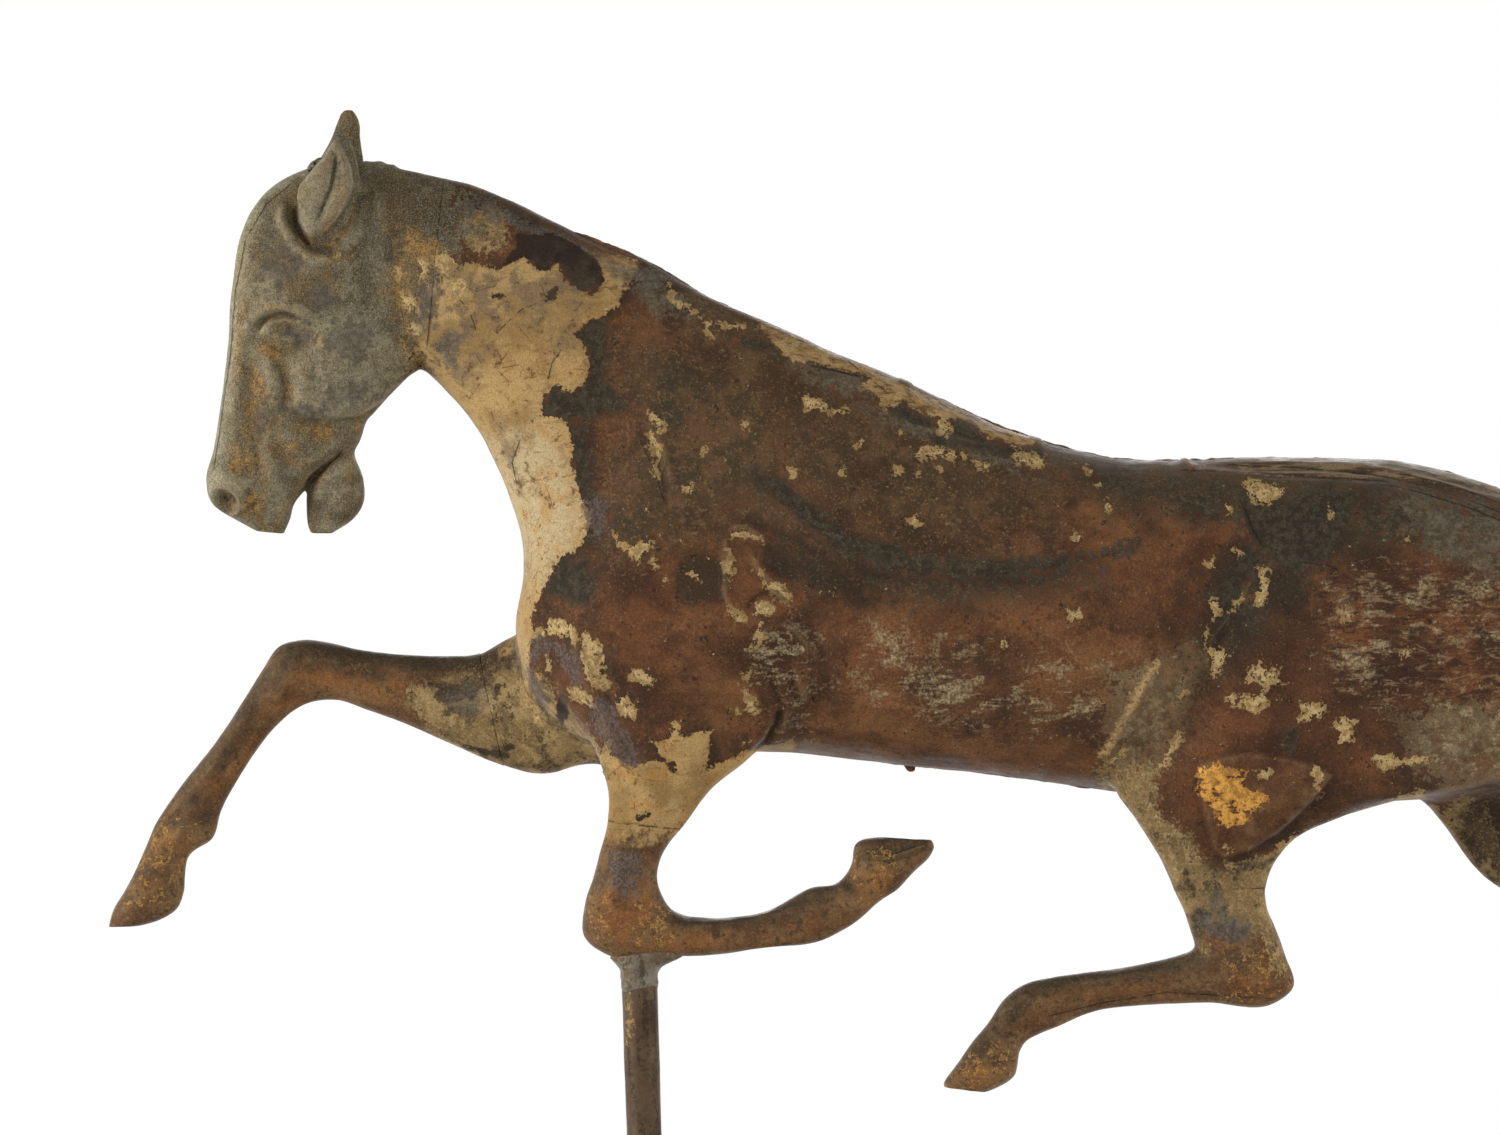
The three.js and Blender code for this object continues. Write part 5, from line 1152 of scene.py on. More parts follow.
# The skin of the horse: dark paint over cream ground and gold leaf, bare metal and zinc.
SKIN = [
    DARK_PAINT,
    # A dark rim round the cream patches and flakes: painted shadow of the paint's edge.
    ((42, 34, 31), "rim", 0.6),
    (CREAM_GROUND, "bare"),
    (LEG_COPPER, "leg"),
    (OCHRE_DIRT, "ochre"),
    (CREAM_GROUND, "ochre", "flakes"),
    (("grain", 0.44, 0.56, (76, 65, 60), (94, 81, 73)), ("purple", 0.0006, 0.014),
     ("fine", 0.4, 0.5, 0.5, 0.85)),
    (ZINC_GREY, "zinc"),
    (CREAM_GROUND, "zinc", "flakes"),
    (("fine", 0.45, 0.55, (94, 88, 78), (76, 70, 62)), ("slate", 0.0014, 0.016),
     ("grain", 0.4, 0.56, 0.3, 0.8)),
    (("mid", 0.45, 0.55, (48, 39, 32), (64, 54, 43)), "dark"),
    # Painted shade in hollows, and paler convex edges: wear with a painted highlight.
    ((42, 32, 27), ("hollow", 0.08, 0.6, 0, 0.55)),
    ((136, 112, 80), ("hollow", -0.6, -0.12, 0.3, 0)),
    # Dark lines: seams, cracks and scratches, and painted shade along creases.
    ((38, 29, 25), ("line", 0.00012, 0.0005, 1, 0), ("line_end", 0.0001, 0.0008, 0, 0.75)),
    ((188, 146, 78), ("gilt", 0.002, 0.03), ("worms", 0.005, 0.018, 1, 0), ("fine", 0.46, 0.54), 0.62),
    (("fine", 0.44, 0.58, (200, 148, 70), (154, 111, 54)), "leaf", 0.86),
]
# Noises of the skin: scale per metre, detail, roughness, distortion, and stretch along X, Y and Z.
SKIN_NOISES = {
    "wide": (9, 3), "mid": (30, 7, 0.62), "small": (95, 8, 0.68), "fine": (290, 6, 0.68),
    "grain": (800, 4, 0.65), "dots": (2000, 2, 0.6), "pores": (1600, 3, 0.6),
    "veil": (17, 5, 0.6, 0.5), "holes": (430, 5, 0.7),
    "brushed": (380, 5, 0.66, 0.6, (0.28, 1, 1)), "smear": (48, 7, 0.64, 0.3, (0.7, 1, 1)),
    "clouds": (120, 6, 0.7, 0.4, (0.6, 1, 1)), "hatching": (420, 5, 0.7, 0.8, (0.22, 1, 0.8)),
    "streaks": (300, 4, 0.6, 0.3, (0.2, 1, 1.4)),
}
# Sums of fields, with the weight of each, and the number that they start from.
SKIN_SUMS = {
    "rag": (-1.125, {"small": 1, "fine": 0.8, "grain": 0.45}),
    "chipped": (-1.0, {"small": 0.5, "fine": 1.3, "grain": 0.2}),
    "pitted": (0, {"fine": 1, "small": 0.5}), "spots": (0, {"fine": 1, "small": 0.6}),
    "grime": (0, {"fine": 1, "small": 0.7}), "clouded": (0, {"mid": 1, "fine": 0.5}),
    "chips": (0, {"fine": 1, "grain": 0.5}), "crumbs": (0, {"small": 1, "grain": 0.5}),
    "worn": (0, {"clouds": 1, "brushed": 0.6}), "bristles": (0, {"brushed": 1, "fine": 0.5}),
    "pierced": (0, {"holes": 1, "grain": 0.5}), "rough_up": (1.25, {"up": 1, "small": -2.5}),
    "torn": (0, {"brushed": 1, "fine": 0.9, "small": 0.5}), "worm_side": (-0.5, {"small": 1}),
    "hollow": (0, {"depth": 1, "rag": 0.6}), "line_side": (0, {"place": 1, "rag": 0.0016}),
    "line_end": (0, {"inside": 1, "rag": 0.006}),
    "skin_height": (0, {"bare": -0.8, "dark": 0.5, "small": 0.8, "fine": 0.8, "brushed": 0.3}),
}


# How soft and how ragged the edge of each patch is, in metres, and what makes it ragged.
SKIN_EDGES = {
    "cream": (0.00016, 0.009), "flake": (0.00012, 0.013, "chipped"), "dark": (0.0002, 0.007),
    "gold": (0.0002, 0.014), "stain": (0.0018, 0.014), "speckle": (0.014, 0.08),
    "leg": (0.004, 0.03), "ochre": (0.0016, 0.02), "zinc": (0.0016, 0.07),
}
RIM_EDGES = {"cream": (0.0012, 0.009), "flake": (0.0008, 0.013, "chipped")}
FLAKE_HOLES = ("pierced", 0.84, 0.88, 1, 0.15)
SPECKS = (("grain", 0.59, 0.64, 0, 0.35), ("grain", 0.55, 0.6, 0, 0.5))  # off and on the speckle
BROWN_HOLLOWS = ("relief", -1.8, -0.2, 0.7, 0)
LEAF_TEARS = ("torn", 1.27, 1.31, 1, 0)
SHADES = {"grain": (0.36, 0.64, 0.88, 1.12), "dots": (0.36, 0.64, 0.82, 1.18)}
LEG_METAL = 0.15
LEAF_METAL = 0.4
PAINT_ROUGHNESS = ("small", 0.35, 0.65, 0.42, 0.68)
ZINC_ROUGHNESS = ("fine", 0.4, 0.6, 0.58, 0.78)
GROUND_ROUGHNESS = 0.66
GRAIN_HEIGHTS = (0.35, 0.7)  # on the paint and on the zinc
CRACKLE_SCALE = 60
SKIN_BUMP = (0.0007, 0.85)  # height in metres, and strength
GLOSS = (0.35, 0.95, 0.03, 0.5)  # how a surface's shine grows as it turns away


# Shader nodes.

def srgb(red, green, blue):
    def linear(value):
        value /= 255
        return value / 12.92 if value <= 0.04045 else ((value + 0.055) / 1.055) ** 2.4
    return (linear(red), linear(green), linear(blue), 1)


class Paint:
    """A material under construction. Most methods add a node and return its output. The fields are
    outputs by name: noises, what paint() wrote on the vertices, and what is made of them."""

    def __init__(self, name, noises):
        self.material = bpy.data.materials.new(name)
        self.material.use_nodes = True
        self.tree = self.material.node_tree
        self.shader = self.tree.nodes["Principled BSDF"]
        self.place = self.add("TexCoord", "Object", {})
        gloss = self.step(self.add("LayerWeight", "Facing", {}), *GLOSS)
        self.link(gloss, self.shader.inputs["Specular IOR Level"])
        self.fields = {field: self.noise(*settings) for field, settings in noises.items()}

    def link(self, value, socket):
        if isinstance(value, bpy.types.NodeSocket):
            self.tree.links.new(value, socket)
        else:
            socket.default_value = srgb(*value) if isinstance(value, tuple) else value

    def add(self, kind, output, inputs, **settings):
        node = self.tree.nodes.new("ShaderNode" + kind)
        for key, value in settings.items():
            setattr(node, key, value)
        for key, value in inputs.items():
            self.link(value, node.inputs[key])
        return node.outputs[output]

    def attribute(self, layer):
        return self.add("Attribute", "Fac", {}, attribute_name="of_" + layer)

    def noise(self, scale, detail, roughness=0.55, distortion=0, stretch=None):
        place = self.place
        if stretch:
            place = self.add("Mapping", "Vector", {"Vector": place, "Scale": Vector(stretch)})
        inputs = {"Vector": place, "Scale": scale, "Detail": detail, "Roughness": roughness}
        return self.add("TexNoise", "Fac", inputs | {"Distortion": distortion})

    def sum(self, a, b, operation="ADD"):
        return self.add("Math", 0, {0: a, 1: b}, operation=operation)

    def times(self, a, b):
        return self.sum(a, b, "MULTIPLY")

    def weighted(self, start, weights):
        """A number and fields, each times its weight."""
        total = start
        for field, weight in weights.items():
            total = self.sum(total, self.times(self.fields[field], weight))
        return total

    def step(self, value, low, high, start=0.0, end=1.0):
        """A smooth step from start to end as the value goes from low to high."""
        inputs = {"Value": value, "From Min": low, "From Max": high, "To Min": start, "To Max": end}
        return self.add("MapRange", "Result", inputs, interpolation_type="SMOOTHSTEP")

    def mix(self, share, a, b, blend_type="MIX"):
        inputs = {"Factor": share, "A": a, "B": b}
        return self.add("Mix", "Result", inputs, data_type="RGBA", blend_type=blend_type)

    def blend(self, share, a, b):
        return self.add("Mix", "Result", {"Factor": share, "A": a, "B": b})

    def shaded(self, colour, field, low, high, start, end):
        """The colour times a step of a field."""
        return self.mix(1, colour, self.step(self.fields[field], low, high, start, end), "MULTIPLY")

    def patch(self, layer, soft, amount, rag="rag"):
        """The share covered by a layer: its distance, made ragged by up to about the amount."""
        ragged = self.sum(self.attribute(layer), self.times(self.fields[rag], amount))
        return self.step(ragged, -soft, soft)

    def share(self, told):
        if isinstance(told, str):
            return self.fields[told]
        if not isinstance(told, tuple):
            return told
        name, *numbers = told
        if name in self.fields:
            return self.step(self.fields[name], *numbers)
        return self.patch(name, *numbers)

    def tone(self, told):
        if isinstance(told, list):
            colour = self.tone(told[0])
            for over, first, *others in told[1:]:
                strength = self.share(first)
                for other in others:
                    strength = self.times(strength, self.share(other))
                colour = self.mix(strength, colour, self.tone(over))
            return colour
        if isinstance(told[0], str):
            field, low, high, first, second = told
            return self.mix(self.step(self.fields[field], low, high), first, second)
        return told

    def finish(self, colour, roughness, height, metal, bump, strength):
        bumped = {"Strength": strength, "Distance": bump, "Height": height}
        sockets = {
            "Base Color": colour, "Roughness": roughness, "Metallic": metal,
            "Normal": self.add("Bump", "Normal", bumped),
        }
        for name, value in sockets.items():
            self.link(value, self.shader.inputs[name])
        return self.material


def skin_paint(name):
    """The skin of the horse, from the distances that paint() wrote on its vertices."""
    p = Paint(name, SKIN_NOISES)
    fields = p.fields
    written = {"up": "up", "relief": "relief", "depth": "hollow", "place": "line_side", "inside": "line"}
    fields.update({field: p.attribute(layer) for field, layer in written.items()})
    crackle = {"Vector": p.place, "Scale": CRACKLE_SCALE}
    fields["crackle"] = p.add("TexVoronoi", "Distance", crackle, feature="DISTANCE_TO_EDGE")
    for field in ("rag", "chipped", "pierced"):
        fields[field] = p.weighted(*SKIN_SUMS[field])
    patches = {layer: p.patch(layer, *edge) for layer, edge in SKIN_EDGES.items()}
    rims = [p.patch(layer, *edge) for layer, edge in RIM_EDGES.items()]
    fields.update({layer: patches[layer] for layer in ("dark", "leg", "ochre", "zinc")})
    fields["flakes"] = p.times(patches["flake"], p.share(FLAKE_HOLES))
    fields["bare"] = p.sum(patches["cream"], fields["flakes"], "MAXIMUM")
    fields["rim"] = p.times(p.sum(*rims, "MAXIMUM"), p.sum(1.0, fields["bare"], "SUBTRACT"))
    for field, (start, weights) in SKIN_SUMS.items():
        if field not in fields:
            fields[field] = p.weighted(start, weights)
    fields["line"] = p.sum(fields["line_side"], 0, "ABSOLUTE")
    fields["worms"] = p.sum(fields["worm_side"], 0, "ABSOLUTE")
    fields["specks"] = p.blend(patches["speckle"], *(p.share(told) for told in SPECKS))
    fields["browned"] = p.sum(p.share(BROWN_HOLLOWS), patches["stain"], "MAXIMUM")
    fields["leaf"] = p.times(patches["gold"], p.share(LEAF_TEARS))

    colour = p.tone(SKIN)
    for field, step in SHADES.items():
        colour = p.shaded(colour, field, *step)
    metals = (p.times(fields["leg"], LEG_METAL), p.times(fields["leaf"], LEAF_METAL))
    roughness = p.blend(fields["bare"], p.share(PAINT_ROUGHNESS), GROUND_ROUGHNESS)
    roughness = p.blend(fields["zinc"], roughness, p.share(ZINC_ROUGHNESS))
    grained = p.times(fields["grain"], p.blend(fields["zinc"], *GRAIN_HEIGHTS))
    height = p.sum(fields["skin_height"], grained)
    return p.finish(colour, roughness, height, p.sum(*metals, "MAXIMUM"), *SKIN_BUMP)


METAL_NOISES = {
    "mid": (70, 6, 0.62), "fine": (600, 5, 0.7), "pores": (1100, 3, 0.6),
    "streaks": (300, 4, 0.6, 0, (1, 1, 0.12)),
}
# Each metal's three tones, the range of its roughness, how metallic it is, the height of its bumps
# in metres, and the tone of its stains.
METALS = {
    "solder": ((116, 108, 95), (92, 82, 68), (62, 52, 42), (0.45, 0.65), 0.2, 0.0004, (98, 76, 54)),
    "aged_brass": ((87, 71, 55), (72, 58, 45), (52, 42, 34), (0.42, 0.6), 0.2, 0.0002, (132, 109, 70)),
    "black_iron": ((50, 46, 43), (66, 52, 42), (96, 60, 38), (0.5, 0.75), 0.2, 0.0002, None),
    "steel": ((104, 98, 90), (84, 76, 68), (70, 50, 38), (0.35, 0.6), 0.6, 0.0002, None),
    "bare_copper": ((132, 84, 58), (104, 68, 48), (60, 44, 36), (0.4, 0.65), 0.3, 0.0002, None),
}
METAL_BUMP_STRENGTH = 0.7


def speckled_metal(name, main, second, dark, rough, metal, bump, stain):
    """A weathered metal of three tones, and of a fourth if it is stained."""
    p = Paint(name, METAL_NOISES)
    p.fields["streaked"] = p.weighted(0, {"fine": 1, "streaks": 1})
    p.fields["rag"] = p.weighted(-1.0, {"mid": 1, "fine": 1})
    coats = [("mid", 0.4, 0.62, main, second), (dark, ("streaked", 1.0, 1.12, 0, 0.8))]
    if stain:
        coats.append((stain, ("stain", 0.0006, 0.012), ("fine", 0.44, 0.54)))
        # Soot, and painted shade, where those blots reach.
        coats.append((dark, ("soot_and_shade", 0.0012, 0.012), 0.7))
    coats.append((second, ("pores", 0.5, 0.6, 0, 0.45)))
    roughness = p.share(("mid", 0.35, 0.65, *rough))
    height = p.weighted(0, {"fine": 1, "streaks": 0.6})
    return p.finish(p.tone(coats), roughness, height, metal, bump, METAL_BUMP_STRENGTH)


LOOKS = {name: skin_paint(name) for name in ("painted_copper", "zinc_casting")}
LOOKS.update({name: speckled_metal(name, *settings) for name, settings in METALS.items()})


# Pieces.

def piece(name, mesh, look, body, slot, *nodes):
    mesh.materials.clear()
    mesh.materials.append(LOOKS[look])
    mesh.polygons.foreach_set("use_smooth", [True] * len(mesh.polygons))
    mesh.update()
    made = bpy.data.objects.new(name, mesh)
    bpy.context.scene.collection.objects.link(made)
    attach(made, body)
    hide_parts(*nodes)
    return made


def skin_pieces(mesh, middle, wall, slot, halves):
    """Cuts a skin at the plane y = middle into two shells, each told by its side of the plane, its
    name and the node that it replaces."""
    for side, name, node in halves:
        half = cut(mesh, (0, middle + side * SEAM_GAP / 2, 0), (0, -side, 0))
        shell = with_modifier(half, "SOLIDIFY", thickness=wall, offset=-1, use_even_offset=False)
        piece(name, shell, slot, "vane", slot, node)


def plane_of(row, towards):
    """A ring's plane: its middle, and its normal on the side of another ring."""
    front, back = at_pixel(row[0], row[1]), at_pixel(row[2], row[3])
    normal = (front - back).cross(Vector((0, 1, 0))).normalized()
    middle = (front + back) / 2
    goal = (at_pixel(towards[0], towards[1]) + at_pixel(towards[2], towards[3])) / 2
    return middle, normal if normal.dot(goal - middle) > 0 else -normal


trunk_rows = smooth_rows(HEAD_RINGS + [NECK_JOINT_RING] + BODY_RINGS)
neck_row = len(HEAD_RINGS) * RING_STEPS
leg_rows = {name: smooth_rows(rings) for name, (rings, joint, side) in LEGS.items()}
OVERLAP_RINGS = 1  # that each skin is made past its joint before it is cut there
NECK_OVERLAP_RINGS = 2
LEG_CUT_REACH = 0.06  # round a leg's joint, where the body is cut
SLEEVE_MARGIN = 0.16
SLEEVE_ROWS = 4
# Where the limbs' roots are smoothed: a place in pixels, its side, the radius and the rounds.
BODY_FILLETS = (
    (600, 700, NEAR_LEG_Y, 0.055, 26), (560, 740, MIDDLE_Y, 0.045, 26),
    (700, 660, NEAR_LEG_Y - 0.02, 0.07, 14), (790, 730, NEAR_LEG_Y, 0.035, 14),
    (640, 700, FAR_LEG_Y + 0.01, 0.07, 26), (540, 660, FAR_LEG_Y, 0.04, 16),
    (1130, 780, NEAR_LEG_Y, 0.04, 20), (1420, 800, MIDDLE_Y, 0.05, 24),
    (1400, 700, NEAR_LEG_Y - 0.02, 0.1, 16), (1500, 780, NEAR_LEG_Y, 0.05, 24),
    (1450, 700, FAR_LEG_Y + 0.02, 0.1, 20), (1600, 680, FAR_LEG_Y, 0.05, 20),
    (700, 590, FAR_LEG_Y + 0.02, 0.05, 20), (700, 540, NEAR_LEG_Y - 0.02, 0.05, 20),
)
HEAD_FILLETS = (
    (335, 236, MIDDLE_Y - EAR_SPREAD, 0.016, 6), (335, 236, MIDDLE_Y + EAR_SPREAD, 0.016, 6),
    (345, 440, MIDDLE_Y, 0.02, 10),
)


def leg_loft(name, first, last):
    rings = leg_rows[name][first * RING_STEPS:last * RING_STEPS + 1]
    return loft(rings, LEG_HALF_WIDTH, LEGS[name][2])


def make_body():
    neck = trunk_rows[neck_row - NECK_OVERLAP_RINGS * RING_STEPS:]
    lofts = [loft(neck, BODY_HALF_WIDTH, MIDDLE_Y, TRUNK_ROUNDNESS)]
    lofts += [leg_loft(name, 0, joint + OVERLAP_RINGS) for name, (_, joint, _) in LEGS.items()]
    mesh = remeshed("body", lofts, BODY_MESHING, BODY_FILLETS)
    for rings, joint, side in LEGS.values():
        middle, normal = plane_of(rings[joint], rings[joint + 1])
        mesh = cut(mesh, (middle.x, side, middle.z), normal, LEG_CUT_REACH)
    mesh = cut(mesh, *plane_of(NECK_JOINT_RING, HEAD_RINGS[-1]))
    paint(mesh, with_relief(mesh, body_sides, body_everywhere))
    skin_pieces(mesh, MIDDLE_Y, COPPER_WALL, "painted_copper", (
        (-1, "body_near", "body_shell_near"), (1, "body_far", "body_shell_far"),
    ))


def make_head():
    neck = trunk_rows[:neck_row + OVERLAP_RINGS * RING_STEPS]
    lofts = [
        loft(neck, BODY_HALF_WIDTH, MIDDLE_Y, TRUNK_ROUNDNESS),
        loft(smooth_rows(JAW_RINGS), BODY_HALF_WIDTH, MIDDLE_Y),
        loft(smooth_rows(NEAR_EAR_RINGS), EAR_HALF_WIDTH, MIDDLE_Y - EAR_SPREAD),
        loft(smooth_rows(FAR_EAR_RINGS), EAR_HALF_WIDTH, MIDDLE_Y + EAR_SPREAD),
    ]
    mesh = remeshed("head", lofts, HEAD_MESHING, HEAD_FILLETS)
    mesh = cut(mesh, *plane_of(NECK_JOINT_RING, BODY_RINGS[0]))
    paint(mesh, with_relief(mesh, head_sides, head_everywhere, HEAD_DENTS))
    skin_pieces(mesh, MIDDLE_Y, ZINC_WALL, "zinc_casting", (
        (-1, "head_near", "head_casting_near"), (1, "head_far", "head_casting_far"),
    ))


def make_lower_leg(name):
    rings, joint, side = LEGS[name]
    lofts = [leg_loft(name, joint - OVERLAP_RINGS, len(rings) - 1)]
    mesh = remeshed(name, lofts, LEG_MESHING)
    middle, normal = plane_of(rings[joint], rings[joint - 1])
    mesh = cut(mesh, (middle.x, side, middle.z), normal)
    paint(mesh, with_relief(mesh, leg_sides, nowhere, LEG_DENTS))
    out = -1 if side < MIDDLE_Y else 1
    skin_pieces(mesh, side, COPPER_WALL, "painted_copper", (
        (out, name + "_outer_skin", name + "_outer"), (-out, name + "_inner_skin", name + "_inner"),
    ))


def make_tail():
    tail = loft(smooth_rows(TAIL_RINGS), TAIL_HALF_WIDTH, MIDDLE_Y)
    mesh = remeshed("tail", [tail], TAIL_MESHING)
    paint(mesh, with_relief(mesh, tail_sides, nowhere, LEG_DENTS))
    skin_pieces(mesh, MIDDLE_Y, COPPER_WALL, "painted_copper", (
        (-1, "tail_near_skin", "tail_near"), (1, "tail_far_skin", "tail_far"),
    ))


def roughened(mesh, dents):
    """The mesh with noise on it."""
    co = coordinates(mesh)
    rough = sum(height * wander(co, scale) for scale, height in dents)
    set_coordinates(mesh, co + normals(mesh) * rough[:, None])
    return mesh


def make_sleeve(name, skin_rows, joint_row, half_width, side):
    """The sleeve inside a joint: the skin's own rings, made smaller."""
    rings = skin_rows[joint_row - SLEEVE_ROWS:joint_row + SLEEVE_ROWS + 1].copy()
    middles = (rings[:, :2] + rings[:, 2:4]) / 2
    rings[:, :2] += (middles - rings[:, :2]) * SLEEVE_MARGIN
    rings[:, 2:4] += (middles - rings[:, 2:4]) * SLEEVE_MARGIN
    rings[:, 4] *= 1 - SLEEVE_MARGIN
    mesh = remeshed(name, [loft(rings, half_width, side)], LEG_MESHING)
    piece(name + "_tube", roughened(mesh, DENTS["sleeve"]), "bare_copper", "vane", "bare_copper", name)


# Seams, solder, tube and the stand.

TUBE_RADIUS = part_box("vane_tube")[1].x
TUBE_WALL = 0.0015
TURN_SIDES = 96
SCREW_SIDES = 48
CORNER_STEPS = 4
CORNER_SHARE = 0.45  # of an edge that a rounded corner takes at most
AXIS_RADIUS = 1e-5  # of the ring that closes a turned solid on its axis
# How far each turned solid's corners are rounded, and the distance between its rings.
TURNING = {
    "tube": (0.0004, 0.0025), "flange": (0.0018, 0.0012), "spindle": (0.0004, 0.002),
    "screw": (0.0003, 0.0008), "set_screw": (0.0003, 0.0005),
}


def ellipse(x, y, z, radius_x, radius_y, sides=TURN_SIDES):
    turns = np.arange(sides) * 2 * math.pi / sides
    return [(x + radius_x * math.cos(t), y + radius_y * math.sin(t), z) for t in turns]


def stacked(name, sections, looped=False):
    """One surface through rings of points. Looped, the last ring joins the first, or else both
    ends are closed."""
    count = len(sections[0])
    points = [tuple(p) for ring in sections for p in ring]
    faces = []
    for r in range(len(sections) - (0 if looped else 1)):
        for i in range(count):
            a, b = r * count + i, r * count + (i + 1) % count
            faces.append((a, b, (b + count) % len(points), (a + count) % len(points)))
    if not looped:
        faces += [tuple(range(count))[::-1], tuple(len(points) - count + i for i in range(count))]
    return mesh_of(name, [(points, faces)])


def softened(outline, radius):
    """The outline with its inner corners rounded."""
    made = [outline[0]]
    for before, corner, after in zip(outline, outline[1:], outline[2:]):
        before, corner, after = Vector(before), Vector(corner), Vector(after)
        to_start, to_end = before - corner, after - corner
        start = corner + to_start.normalized() * min(radius, to_start.length * CORNER_SHARE)
        end = corner + to_end.normalized() * min(radius, to_end.length * CORNER_SHARE)
        for i in range(CORNER_STEPS + 1):
            t = i / CORNER_STEPS
            made.append(tuple(start * (1 - t) ** 2 + corner * 2 * t * (1 - t) + end * t * t))
    return made + [outline[-1]]


def finer(outline, step):
    made = [outline[0]]
    for a, b in zip(outline, outline[1:]):
        count = max(1, math.ceil((Vector(b) - Vector(a)).length / step))
        made += [tuple(Vector(a).lerp(Vector(b), i / count)) for i in range(1, count + 1)]
    return made


def turned(name, outline, corner, step, looped=False, x=0, y=0, sides=TURN_SIDES):
    """A solid turned about a vertical line, from rounded (radius, height) points."""
    sections = []
    for radius, z in finer(softened(outline, corner), step):
        radius = max(radius, AXIS_RADIUS)
        sections.append(ellipse(x, y, z, radius, radius, sides))
    return stacked(name, sections, looped)


def without(mesh, tool):
    """The mesh with another one cut out of it."""
    holder = bpy.data.objects.new("tool", tool)
    bpy.context.scene.collection.objects.link(holder)
    made = with_modifier(mesh, "BOOLEAN", object=holder, operation="DIFFERENCE", solver="EXACT")
    bpy.data.objects.remove(holder)
    return made


def block(low, high):
    mesh = bpy.data.meshes.new("block")
    bm = bmesh.new()
    bmesh.ops.create_cube(bm, size=1)
    middle, size = (Vector(low) + Vector(high)) / 2, Vector(high) - Vector(low)
    for v in bm.verts:
        v.co = Vector(v.co[k] * size[k] + middle[k] for k in range(3))
    bm.to_mesh(mesh)
    bm.free()
    return mesh


# Radius in pixels, half width, and how deep its middle is sunk in pixels, negative at the belly.
SPINE_BEAD = (2.4, 0.0022, 2.4)
BELLY_BEAD = (1.8, 0.0020, -1.6)
SEAM_END_SHARE = 0.3


def seam_bead(name, edge, radius_px, half_width, sink_px, node):
    """A rough bead of solder along an edge of the trunk."""
    path = np.array(edge, float)
    along = np.gradient(path, axis=0)
    outward = np.stack([along[:, 1], -along[:, 0]], axis=1) / np.linalg.norm(along, axis=1)[:, None]
    outward *= np.sign(-outward[:, 1:2]) * (1 if sink_px >= 0 else -1)
    middle = path - outward * abs(sink_px)
    low, high = middle - outward * radius_px, middle + outward * radius_px
    rings = [(*h, *l, 1, 0) for h, l in zip(high, low)]
    for end in (0, -1):
        rings[end] = (*high[end], *low[end], SEAM_END_SHARE, 0)
    mesh = remeshed(name, [loft(rings, half_width, MIDDLE_Y)], SEAM_MESHING)
    mesh = roughened(mesh, DENTS["seam"])
    paint(mesh)
    piece(name, mesh, "painted_copper", "vane", "solder", node)


SPINE_END_PX = 1600
BACK_BELOW_PX = 350
BELLY_SPAN_PX = (800, 1110)
BELLY_BELOW_PX = 740
DRIP_PX = ((909, 764), (910, 767), (911, 770), (911, 772))
DRIP_RADII_PX = (6, 5.5, 4.5, 2.5)


def make_seams():
    spine = [(row[0], row[1]) for row in trunk_rows[neck_row:] if row[0] < SPINE_END_PX]
    seam_bead("spine_seam", spine, *SPINE_BEAD, "spine_seam_bead")
    first, last = BELLY_SPAN_PX
    belly = [
        (row[2], row[3]) for row in trunk_rows
        if row[1] > BACK_BELOW_PX and first < row[2] < last and row[3] > BELLY_BELOW_PX
    ]
    seam_bead("belly_seam", belly, *BELLY_BEAD, "belly_seam_bead")
    rings = [(x - r, y, x + r, y, r, 0) for (x, y), r in zip(DRIP_PX, DRIP_RADII_PX)]
    mesh = remeshed("drip", [loft(rings, PX, MIDDLE_Y)], SEAM_MESHING)
    paint(mesh)
    piece("seam_drip", mesh, "painted_copper", "vane", "solder")


# The fillet's rings: height over the knee plane, shift along X, radius along X, radius along Y.
FILLET_RINGS = (
    (-0.0058, 0, 0.0081, 0.0082), (-0.0044, 0, 0.0083, 0.0085), (-0.0024, 0, 0.0084, 0.0088),
    (-0.0004, 0, 0.0085, 0.0090), (0.0012, 0.0001, 0.0087, 0.0091), (0.0026, 0.0003, 0.0094, 0.0092),
    (0.0044, 0.0010, 0.0112, 0.0091), (0.0060, 0.0018, 0.0138, 0.0088), (0.0074, 0.0030, 0.0162, 0.0084),
    (0.0100, 0.0040, 0.0160, 0.0078), (0.0130, 0.0040, 0.0130, 0.0066),
)
FILLET_STEPS = 8
FILLET_EDGE = (-0.0062, -0.002)  # height over which its lower edge stops being uneven
FILLET_EDGE_ROUGHNESS = 0.0022
FILLET_EDGE_SCALE = 160


def make_knee_solder():
    rings = np.array(FILLET_RINGS)
    places = np.linspace(0, len(rings) - 1, (len(rings) - 1) * FILLET_STEPS + 1)
    between = [np.interp(places, np.arange(len(rings)), column) for column in rings.T]
    sections = []
    for height, shift, radius_x, radius_y in zip(*between):
        ring = np.array(ellipse(shift, 0, KNEE_Z + height, radius_x, radius_y))
        low = 1 - smooth_share(height, *FILLET_EDGE)
        uneven = wander(ring * np.array([1, 1, 0]), FILLET_EDGE_SCALE)
        ring[:, 2] += low * FILLET_EDGE_ROUGHNESS * uneven
        sections.append(ring)
    mesh = roughened(stacked("knee_fillet", sections), DENTS["knee"])
    paint(mesh)
    piece("knee_fillet", mesh, "solder", "vane", "solder", "knee_solder")


